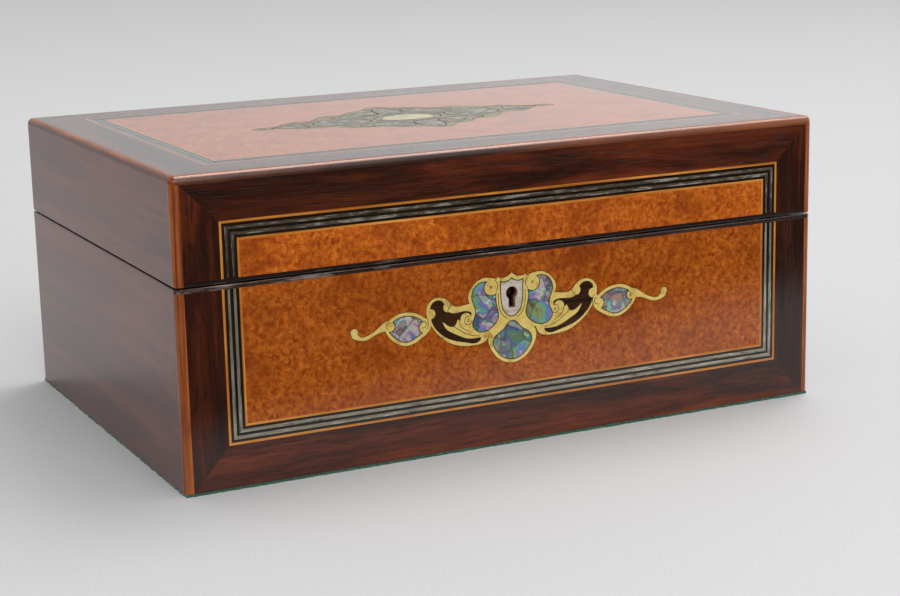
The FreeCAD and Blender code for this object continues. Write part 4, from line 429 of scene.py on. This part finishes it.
FINISHES = {
    "burr": burr("burr_veneer", (0.0, 0.0, 0.0), 0.8),
    "lid_burr": burr("lid_burr_veneer", (0.0, 0.0, 0.0), 1.02),
    "rosewood": rosewood(
        "rosewood_veneer", tone(26, 12, 8), tone(55, 24, 13), tone(92, 39, 19), tone(122, 55, 26)
    ),
    "end_rosewood": rosewood(
        "end_rosewood_veneer", tone(60, 23, 14), tone(88, 36, 23), tone(108, 47, 30), tone(122, 57, 36)
    ),
    # The base lipping's pale grey is a painted highlight along its rim; the lid lipping carries only a
    # little of it.
    "painted_sheen_lipping": lipping("painted_sheen_lipping", tone(34, 22, 17), tone(66, 46, 36), tone(130, 117, 107), 0.15),
    "black_lipping": lipping("black_lipping", tone(22, 15, 12), tone(46, 32, 26), tone(110, 96, 84), 0.04),
    "outer_edge": stained_edge("outer_edge", tone(52, 24, 14), tone(124, 58, 19), tone(152, 80, 30)),
    "edging": boxwood(
        "boxwood_edging", tone(100, 42, 14), tone(144, 72, 24), tone(172, 96, 38), WORN_GLOSS
    ),
    "boxwood": boxwood("boxwood_line", tone(146, 82, 26), tone(184, 116, 44), tone(206, 142, 66)),
    "ebony": ebony("ebony_line", tone(15, 9, 6), tone(38, 25, 16)),
    "inlay_ebony": ebony("ebony_field", tone(36, 20, 10), tone(66, 38, 20)),
    "pewter": pewter("pewter_line", tone(66, 62, 51), tone(158, 153, 134), tone(210, 205, 188)),
    "lid_pewter": pewter("lid_pewter_line", tone(54, 45, 37), tone(112, 100, 86), tone(222, 214, 200)),
    "top_pewter": pewter("lid_top_pewter_line", tone(34, 29, 24), tone(62, 55, 47), tone(96, 88, 77)),
    "carcass": carcass_wood("carcass_board", tone(66, 30, 16), tone(112, 56, 30), tone(146, 82, 46), 0.3),
    "ebonised": carcass_wood("ebonised_board", tone(20, 13, 9), tone(38, 25, 17), tone(58, 38, 25), 0.16),
    "inlay_brass": inlay_metal(
        "inlay_brass", tone(250, 226, 136), tone(236, 205, 108), tone(172, 136, 64), 0.5, UNDER_POLISH
    ),
    "lid_brass": inlay_metal(
        "lid_inlay_brass", tone(150, 140, 104), tone(122, 112, 80), tone(76, 66, 42), 0.8, WORN_POLISH
    ),
    "plaque": inlay_metal(
        "lid_plaque_brass", tone(204, 196, 164), tone(186, 177, 142), tone(138, 126, 92), 0.9, WORN_POLISH
    ),
    "brass": metal("movement_brass", tone(208, 182, 124), tone(140, 110, 64), 0.2, (1, 0.05, 0.05), 0.4),
    "old_brass": metal("old_lock_brass", tone(110, 84, 42), tone(58, 42, 24), 0.3, age=0.7),
    "bed_metal": metal("bed_lacquer", tone(184, 156, 94), tone(118, 92, 50), 0.34, age=0.55),
    "steel": metal("polished_steel", tone(196, 196, 198), tone(120, 118, 116), 0.14, (1, 0.06, 1), 0.4),
    "blued_steel": metal("blued_steel", tone(52, 62, 104), tone(40, 36, 46), 0.2, age=0.5),
    "shell": abalone("abalone_chips", (0.047, 0.0, 0.021), 1.05, UNDER_POLISH),
    "lid_shell": dulled_shell("lid_abalone_chips"),
    "pearl": pearl("mother_of_pearl"),
    "wax": joint_wax("joint_wax"),
    "wool": wool("baize_wool"),
    "glass": clear_glass("cover_glass"),
}

NODE_FINISHES = {
    "burr": ["base_front_panel"],
    "lid_burr": ["lid_front_panel", "lid_top_panel"],
    "rosewood": ["base_rosewood_veneers", "lid_rosewood_veneers"],
    "edging": ["base_corner_edging", "lid_edging"],
    "boxwood": ["base_box_stringing", "lid_box_stringing"],
    "ebony": ["base_ebony_stringing", "lid_ebony_stringing", "lever_knob"],
    "pewter": ["base_pewter_stringing"],
    "lid_pewter": ["lid_pewter_stringing"],
    "carcass": ["base_bottom_board", "base_walls", "lid_top_board", "lid_walls", "partitions"],
    "ebonised": ["dust_cover_frame"],
    "brass": [
        "lock_link_plate", "hinge_base_leaves", "hinge_lid_leaves", "case_screws", "lid_screws",
        "bearing_brackets", "governor_frame", "lever_stop", "barrel_drum", "barrel_cap", "cylinder_drum",
        "cylinder_drive_wheel", "cylinder_great_wheel", "first_wheel", "second_wheel", "stop_lever",
    ],
    "old_brass": ["lock_case"],
    "bed_metal": ["bedplate", "comb_base"],
    "steel": [
        "hinge_pins", "comb", "holding_click", "lock_bolt", "winding_lever", "drive_pawl", "barrel_arbor",
        "ratchet_wheel", "cylinder_arbor", "cylinder_pins", "fly",
    ],
    "blued_steel": ["movement_screws", "mainspring"],
    "glass": ["dust_cover_glass"],
}

for finish_name, names in NODE_FINISHES.items():
    for name in names:
        nodes[name].data.materials.clear()
        nodes[name].data.materials.append(FINISHES[finish_name])


# Grain: which way each strip of wood runs


def nearest_run(across, up, outer, inner):
    """The mitred strip that a point lies in: the one whose width it has crossed least of."""
    spans = {
        "left": (across - outer[0], inner[0] - outer[0]),
        "right": (outer[1] - across, outer[1] - inner[1]),
        "foot": (up - outer[2], inner[2] - outer[2]),
        "head": (outer[3] - up, outer[3] - inner[3]),
    }
    crossed = {run: gone / width for run, (gone, width) in spans.items() if width > MM}
    return min(crossed, key=crossed.get)


def rectangle(name, across, up):
    """A node's left, right, lowest and highest places along two axes."""
    low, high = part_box(name)
    return (low[across], high[across], low[up], high[up])


RUN_SHIFT = {"left": 0.137, "right": 0.291, "foot": 0.433, "head": 0.571}
BACK_SHIFT, LEFT_END_SHIFT, RIGHT_END_SHIFT = 0.77, 0.64, 0.88
BOARD_SHIFT = 0.35
front_outer = {half: rectangle(f"{half}_rosewood_veneers", X, Z) for half in ("base", "lid")}
front_inner = {half: rectangle(f"{half}_front_panel", X, Z) for half in ("base", "lid")}
plan_outer = rectangle("base_walls", X, Y)
top_inner = rectangle("lid_top_panel", X, Y)
wall_low, wall_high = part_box("base_walls")
bottom_low, bottom_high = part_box("base_bottom_board")
lid_wall_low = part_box("lid_walls")[0]
lid_board_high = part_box("lid_top_board")[1]
plan_inner = (bottom_low.x, bottom_high.x, bottom_low.y, bottom_high.y)


def on_front(half, centre):
    run = nearest_run(centre.x, centre.z, front_outer[half], front_inner[half])
    return (X if run in ("foot", "head") else Z), RUN_SHIFT[run]


def in_plan(centre, inner):
    run = nearest_run(centre.x, centre.y, plan_outer, inner)
    return (X if run in ("foot", "head") else Y), RUN_SHIFT[run]


def veneer_grain(half):
    """Bandings run with their mitred frames, ends and back level, and lippings round the rim."""

    def pick(centre):
        on_rim = centre.z > wall_high.z if half == "base" else centre.z < lid_wall_low.z
        if on_rim:
            return in_plan(centre, plan_inner)
        if centre.z > lid_board_high.z:
            return in_plan(centre, top_inner)
        if centre.y < wall_low.y:
            return on_front(half, centre)
        if centre.y > wall_high.y:
            return X, BACK_SHIFT
        return Y, LEFT_END_SHIFT if centre.x < 0 else RIGHT_END_SHIFT

    return pick


def line_grain(half):
    """Lines of stringing run with the frame they lie in."""

    def pick(centre):
        if centre.z > lid_board_high.z:
            return in_plan(centre, top_inner)
        return on_front(half, centre)

    return pick


def edging_grain(centre):
    """Corner strips stand up; the strips round the lid's top lie along their edges."""
    lid_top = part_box("lid_edging")[1].z
    if centre.z < lid_top - EDGING_DEPTH:
        return Z, 0.2 * (1 if centre.x < 0 else 2) + 0.05 * (centre.y > 0)
    return in_plan(centre, top_inner)


def board_grain(centre):
    return in_plan(centre, plan_inner)


def along(axis):
    return lambda centre: (axis, BOARD_SHIFT)


def lay_grain(thing, pick):
    """Writes each face corner's place along and across its own strip's grain."""
    mesh = thing.data
    field = mesh.attributes.get("grain") or mesh.attributes.new("grain", "FLOAT_VECTOR", "CORNER")
    lies = []
    for face in mesh.polygons:
        axis, shift = pick(face.center)
        first, second = (other for other in (X, Y, Z) if other != axis)
        for index in face.vertices:
            spot = mesh.vertices[index].co
            lies += (spot[axis] + shift, spot[first] + shift, spot[second] + shift)
    field.data.foreach_set("vector", lies)


GRAINS = {
    "base_rosewood_veneers": veneer_grain("base"),
    "lid_rosewood_veneers": veneer_grain("lid"),
    "base_corner_edging": edging_grain,
    "lid_edging": edging_grain,
    "base_walls": board_grain,
    "lid_walls": board_grain,
    "dust_cover_frame": board_grain,
    "base_bottom_board": along(X),
    "lid_top_board": along(X),
    "partitions": along(Y),
    "lever_knob": along(Y),
}
for half in ("base", "lid"):
    for line in ("box", "ebony", "pewter"):
        GRAINS[f"{half}_{line}_stringing"] = line_grain(half)
for name, pick in GRAINS.items():
    lay_grain(nodes[name], pick)


def finish_ends(half):
    """The end veneers are a plainer, redder cut than the bandings."""
    thing = nodes[f"{half}_rosewood_veneers"]
    thing.data.materials.append(FINISHES["end_rosewood"])
    for face in thing.data.polygons:
        on_side = abs(face.center.x) > wall_high.x and abs(face.center.y) < wall_high.y
        if on_side and face.center.z < lid_board_high.z:
            face.material_index = 1


def finish_lippings():
    """The lid's lipping is stained black, with little painted highlight; the base's is painted with a pale
    grey highlight along its rim.
    """
    for half, finish_name in (("base", "painted_sheen_lipping"), ("lid", "black_lipping")):
        mesh = nodes[f"{half}_rosewood_veneers"].data
        mesh.materials.append(FINISHES[finish_name])
        for face in mesh.polygons:
            height = face.center.z
            on_rim = height > wall_high.z if half == "base" else height < lid_wall_low.z
            if on_rim and face.center.y < wall_low.y:
                face.material_index = len(mesh.materials) - 1


ROUNDED_OVER = 0.6


def stain_outer_edge():
    """The rounded strips round the lid's top are boxwood above; below they match the veneer beside them."""
    mesh = nodes["lid_edging"].data
    mesh.materials.append(FINISHES["outer_edge"])
    mesh.materials.append(FINISHES["end_rosewood"])
    low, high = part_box("lid_edging")
    for face in mesh.polygons:
        spot = face.center
        at_corner = abs(spot.x) > high.x - EDGING_WIDTH and spot.y < low.y + EDGING_WIDTH
        in_strip = spot.z > high.z - EDGING_DEPTH
        if in_strip and face.normal.z < ROUNDED_OVER and not at_corner:
            face.material_index = 1 if abs(face.normal.y) > abs(face.normal.x) else 2


finish_ends("base")
finish_ends("lid")
finish_lippings()
stain_outer_edge()


# Inlay: each piece as cut, with its edge eased and dark wax in the joint


def new_piece(name, shape, body, slot, *materials):
    """A finished mesh as a piece that rides on a body."""
    mesh = bpy.data.meshes.new(name)
    shape.to_mesh(mesh)
    shape.free()
    made = bpy.data.objects.new(name, mesh)
    bpy.context.scene.collection.objects.link(made)
    for material in materials:
        mesh.materials.append(material)
    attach(made, body)
    return made


def eased(node, name, body, slot, facings, material, width, drop, sink):
    """A copy of an inlaid node, sunk a hair, whose face slopes down to the joint round every edge."""
    shape = bmesh.new()
    shape.from_mesh(nodes[node].data)
    bmesh.ops.remove_doubles(shape, verts=shape.verts, dist=MERGE)
    for facing in facings:
        shown = [face for face in shape.faces if face.normal.dot(facing) > 0.99]
        ring_faces = bmesh.ops.inset_region(
            shape, faces=shown, thickness=width, use_boundary=True, use_even_offset=True
        )["faces"]
        kept = {vert for face in shown for vert in face.verts}
        outer = {vert for face in ring_faces for vert in face.verts} - kept
        bmesh.ops.translate(shape, verts=list(outer), vec=facing * -drop)
        bmesh.ops.translate(shape, verts=list(kept), vec=facing * -sink)
        for face in ring_faces:
            face.material_index = 1
    made = new_piece(name, shape, body, slot, material, FINISHES["wax"])
    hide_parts(node)
    return made


FRONTWARD = Vector((0, -1, 0))
UPWARD = Vector((0, 0, 1))
JOINT_DROP = 0.12 * MM
SINK = 0.04 * MM
INLAYS = [
    ("front_inlay_brass", "front_scroll", "case", "inlay_brass", [FRONTWARD], "inlay_brass", 0.2),
    ("front_inlay_abalone", "front_shell", "case", "shell", [FRONTWARD], "shell", 0.2),
    ("front_inlay_ebony", "front_dark_field", "case", "ebony", [FRONTWARD], "inlay_ebony", 0.2),
    ("keyhole_shield", "pearl_shield", "case", "shell", [FRONTWARD], "pearl", 0.25),
    ("base_pewter_stringing", "base_pewter_lines", "case", "pewter", [FRONTWARD], "pewter", 0.19),
    ("lid_pewter_stringing", "lid_pewter_lines", "lid", "pewter", [FRONTWARD, UPWARD], "lid_pewter", 0.45),
    ("lid_inlay_brass", "lid_scroll", "lid", "inlay_brass", [UPWARD], "lid_brass", 0.3),
    ("lid_inlay_abalone", "lid_shell", "lid", "shell", [UPWARD], "lid_shell", 0.3),
]
inlaid = {}
for node, name, body, slot, facings, finish_name, joint in INLAYS:
    inlaid[name] = eased(
        node, name, body, slot, facings, FINISHES[finish_name], joint * MM, JOINT_DROP, SINK
    )
lay_grain(inlaid["front_dark_field"], along(X))
lay_grain(inlaid["base_pewter_lines"], line_grain("base"))
lay_grain(inlaid["lid_pewter_lines"], line_grain("lid"))


PLAQUE_HALF_WIDTH = 14 * MM
PLAQUE_HALF_DEPTH = 7 * MM


def brighten_plaque():
    """The plain plate in the middle of the lid's inlay is kept brighter than the scrolls."""
    mesh = inlaid["lid_scroll"].data
    mesh.materials.append(FINISHES["plaque"])
    low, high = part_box("lid_inlay_brass")
    middle = (low + high) / 2
    for face in mesh.polygons:
        away = face.center - middle
        in_plaque = abs(away.x) < PLAQUE_HALF_WIDTH and abs(away.y) < PLAQUE_HALF_DEPTH
        if in_plaque and face.normal.z > FACING:
            face.material_index = 2


def dull_top_lines():
    """The pewter lines on the lid's top have gone dark under the old polish."""
    mesh = inlaid["lid_pewter_lines"].data
    mesh.materials.append(FINISHES["top_pewter"])
    for face in mesh.polygons:
        if face.normal.z > FACING and face.material_index == 0:
            face.material_index = 2


brighten_plaque()
dull_top_lines()


# Engraving: shallow dark lines that part the scrolls and leaves of the front brass


ENGRAVED_WIDTH = 0.26 * MM
ENGRAVED_DEPTH = 0.1 * MM


def ring(across, up, radius, begin, end):
    """Points of an arc, in millimetres, between two angles in degrees."""
    turns = [math.radians(begin + (end - begin) * i / 16) for i in range(17)]
    return [(across + radius * math.cos(turn), up + radius * math.sin(turn)) for turn in turns]


def engraved_lines():
    """Lines of the left half, across from the keyhole's middle and up from the floor."""
    return [
        [(-40.0, 60.4), (-39.3, 58.6), (-39.2, 56.8), (-39.7, 55.0)],
        [(-28.6, 64.6), (-29.3, 62.8), (-30.4, 61.4)],
        [(-28.2, 55.4), (-25.6, 53.2), (-22.2, 51.0), (-18.6, 49.6), (-15.4, 49.0)],
        [(-25.0, 56.9), (-24.4, 54.9), (-22.8, 53.0), (-20.4, 51.6)],
        ring(-20.7, 56.3, 1.75, 60, 350),
        ring(-20.7, 56.3, 0.5, 0, 360),
        ring(-9.9, 69.3, 3.3, -48, 62),
        ring(-9.9, 69.3, 0.45, 0, 360),
        ring(-56.6, 58.4, 1.5, 70, 230),
        ring(-41.6, 57.3, 1.5, -110, 80),
        [(-6.4, 66.4), (-6.3, 62.0), (-5.6, 58.6), (-4.0, 56.2), (-2.2, 55.0)],
    ]


def smoothed(points, steps=6):
    """A curve through the points, rounded between them."""
    if len(points) > 8:
        return points
    ends = [points[0], *points, points[-1]]
    curve = []
    for before, start, end, after in zip(ends, ends[1:], ends[2:], ends[3:]):
        for i in range(steps):
            t = i / steps
            curve.append(tuple(
                0.5 * (2 * b + (c - a) * t + (2 * a - 5 * b + 4 * c - d) * t * t
                       + (3 * b - a - 3 * c + d) * t ** 3)
                for a, b, c, d in zip(before, start, end, after)
            ))
    return curve + [points[-1]]


def engraving():
    """Each line is a thin bar of dark wax let into the brass."""
    low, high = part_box("keyhole_shield")
    middle = (low.x + high.x) / 2
    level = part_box("front_inlay_brass")[0].y + SINK / 2
    half_width = ENGRAVED_WIDTH / 2
    shape = bmesh.new()
    for line in engraved_lines():
        for side in (1, -1):
            points = [Vector((middle + side * x * MM, level, z * MM)) for x, z in smoothed(line)]
            rails = []
            for i, point in enumerate(points):
                run = (points[min(i + 1, len(points) - 1)] - points[max(i - 1, 0)]).normalized()
                aside = run.cross(FRONTWARD) * half_width
                rails.append([shape.verts.new(point + aside), shape.verts.new(point - aside)])
            for (a, b), (c, d) in zip(rails, rails[1:]):
                shape.faces.new((a, b, d, c))
    bmesh.ops.remove_doubles(shape, verts=shape.verts, dist=MERGE)
    sunk = bmesh.ops.extrude_face_region(shape, geom=shape.faces[:])["geom"]
    deep = [part for part in sunk if isinstance(part, bmesh.types.BMVert)]
    bmesh.ops.translate(shape, verts=deep, vec=FRONTWARD * -ENGRAVED_DEPTH)
    bmesh.ops.recalc_face_normals(shape, faces=shape.faces)
    return new_piece("front_engraving", shape, "case", "inlay_brass", FINISHES["wax"])


engraving()


# Baize: a napped sheet under the box with a slightly ragged edge


NAP_SHORT, NAP_LONG = 0.35 * MM, 0.95 * MM


def baize_sheet():
    """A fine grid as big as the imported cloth, its rim frayed, thickened upward."""
    low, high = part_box("baize")
    wide, deep, thick = high - low
    draw = random.Random(7)
    shape = bmesh.new()
    bmesh.ops.create_grid(shape, x_segments=180, y_segments=126, size=0.5)
    bmesh.ops.scale(shape, verts=shape.verts, vec=(wide, deep, 1))
    for vert in shape.verts:
        if vert.is_boundary:
            reach = draw.uniform(NAP_SHORT, NAP_LONG)
            vert.co.x += math.copysign(reach, vert.co.x) * (abs(vert.co.x) > wide / 2 - MM)
            vert.co.y += math.copysign(reach, vert.co.y) * (abs(vert.co.y) > deep / 2 - MM)
    sheet = shape.faces[:]
    raised = bmesh.ops.extrude_face_region(shape, geom=sheet)["geom"]
    upper = [part for part in raised if isinstance(part, bmesh.types.BMVert)]
    bmesh.ops.translate(shape, verts=upper, vec=(0, 0, thick))
    bmesh.ops.recalc_face_normals(shape, faces=shape.faces)
    return shape, wide, deep


baize_shape, baize_wide, baize_deep = baize_sheet()
baize = new_piece("baize_cloth", baize_shape, "case", "baize", FINISHES["wool"])
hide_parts("baize")


# Floor, light and camera


FLOOR_REACH = 9.0
DIM_FROM, DIM_TO = -0.18, -0.25


def pale_floor():
    """A wide pale floor with painted shade toward the left; the polish sees it pale only near the box, and
    painted dark beyond, as if the room in front were dim.
    """
    shape = bmesh.new()
    bmesh.ops.create_grid(shape, x_segments=1, y_segments=1, size=FLOOR_REACH)
    mesh = bpy.data.meshes.new("pale_floor")
    shape.to_mesh(mesh)
    shape.free()
    floor = bpy.data.objects.new("pale_floor", mesh)
    bpy.context.scene.collection.objects.link(floor)
    finish = Finish("pale_floor", roughness=0.95, specular_ior_level=0.1)
    spot = finish.spot()
    weave = finish.noise(spot, 900, 2)
    cloth = finish.mixed(finish.within(weave, 0.3, 0.7), tone(213, 213, 214), tone(222, 222, 222))
    place = finish.add("SeparateXYZ", {"Vector": spot}).outputs
    slant = finish.sum("ADD", place["Y"], finish.sum("MULTIPLY", place["X"], 0.3))
    # Painted reflection: to glossy rays the floor in front is dark, standing for a dim room seen in the
    # polish.
    in_front = finish.within(slant, DIM_FROM, DIM_TO)
    glossy = finish.add("LightPath", {}).outputs["Is Glossy Ray"]
    dim = finish.sum("MULTIPLY", in_front, glossy)
    # Painted shade: the floor's colour darkens toward the left, where less light falls.
    shade = finish.within(place["X"], -0.6, 0.1, 0.8, 0.95)
    cloth = finish.mixed(1.0, cloth, finish.ramp(shade, (0.0, 0.0), (1.0, 1.0)), "MULTIPLY")
    finish.give("base color", finish.mixed(dim, cloth, tone(40, 38, 36)))
    floor.data.materials.append(finish.material)


def soft_lamp(name, place, aim, width, power, gloss_only=False):
    """A round lamp that faces a point; one for the gloss alone only shows in polish and metal."""
    lamp = bpy.data.lights.new(name, "AREA")
    lamp.shape = "DISK"
    lamp.size = width
    lamp.energy = power
    made = bpy.data.objects.new(name, lamp)
    made.location = place
    made.rotation_euler = (Vector(aim) - Vector(place)).to_track_quat("-Z", "Y").to_euler()
    made.visible_diffuse = not gloss_only
    bpy.context.scene.collection.objects.link(made)


def room_light():
    """Soft light all round, paler behind the box and to its right than in front of it."""
    world = bpy.data.worlds.new("soft_room")
    world.use_nodes = True
    bpy.context.scene.world = world
    tree = world.node_tree
    where = tree.nodes.new("ShaderNodeTexCoord")
    lean = tree.nodes.new("ShaderNodeVectorMath")
    lean.operation = "DOT_PRODUCT"
    lean.inputs[1].default_value = (1.5, 0.5, 0.0)
    span = tree.nodes.new("ShaderNodeMapRange")
    span.inputs["From Min"].default_value = -1.2
    span.inputs["From Max"].default_value = 1.25
    ramp = tree.nodes.new("ShaderNodeValToRGB")
    shades = ramp.color_ramp.elements
    shades.new(0.84)
    for shade, (place, grey) in zip(shades, ((0.0, 0.36), (0.84, 0.66), (1.0, 0.92))):
        shade.position = place
        shade.color = (grey, grey, grey, 1.0)
    tree.links.new(where.outputs["Generated"], lean.inputs[0])
    tree.links.new(lean.outputs["Value"], span.inputs["Value"])
    tree.links.new(span.outputs["Result"], ramp.inputs["Fac"])
    tree.links.new(ramp.outputs["Color"], tree.nodes["Background"].inputs["Color"])
    path = tree.nodes.new("ShaderNodeLightPath")
    lift = tree.nodes.new("ShaderNodeMapRange")
    lift.inputs["To Min"].default_value = 1.35
    lift.inputs["To Max"].default_value = 1.0
    tree.links.new(path.outputs["Is Glossy Ray"], lift.inputs["Value"])
    tree.links.new(lift.outputs["Result"], tree.nodes["Background"].inputs["Strength"])


def photo_camera():
    """The photograph's view: where it was taken from, what it looks at, and its slight tilt."""
    place = Vector((-0.3860, -0.8234, 0.2481))
    aim = Vector((0.0195, 0.0, 0.0406))
    tilt = math.radians(-1.324)
    data = bpy.data.cameras.new("photo_camera")
    data.sensor_width = 36.0
    data.lens = 79.58
    camera = bpy.data.objects.new("photo_camera", data)
    look = (aim - place).to_track_quat("-Z", "Y").to_matrix().to_4x4()
    camera.matrix_world = Matrix.Translation(place) @ look @ Matrix.Rotation(tilt, 4, "Z")
    bpy.context.scene.collection.objects.link(camera)
    bpy.context.scene.camera = camera


pale_floor()
room_light()
soft_lamp("front_lamp", (-0.3, -1.9, 1.3), (0, 0, 0.06), 1.6, 20)
soft_lamp("window_lamp", (0.92, 0.5, 2.3), (0.1, 0.0, 0.0), 1.2, 15)
soft_lamp("sheen_lamp", (0.95, 0.1, 2.3), (0.0, -0.1, 0.1), 2.2, 60, gloss_only=True)
photo_camera()
bpy.context.scene.view_settings.view_transform = "Standard"
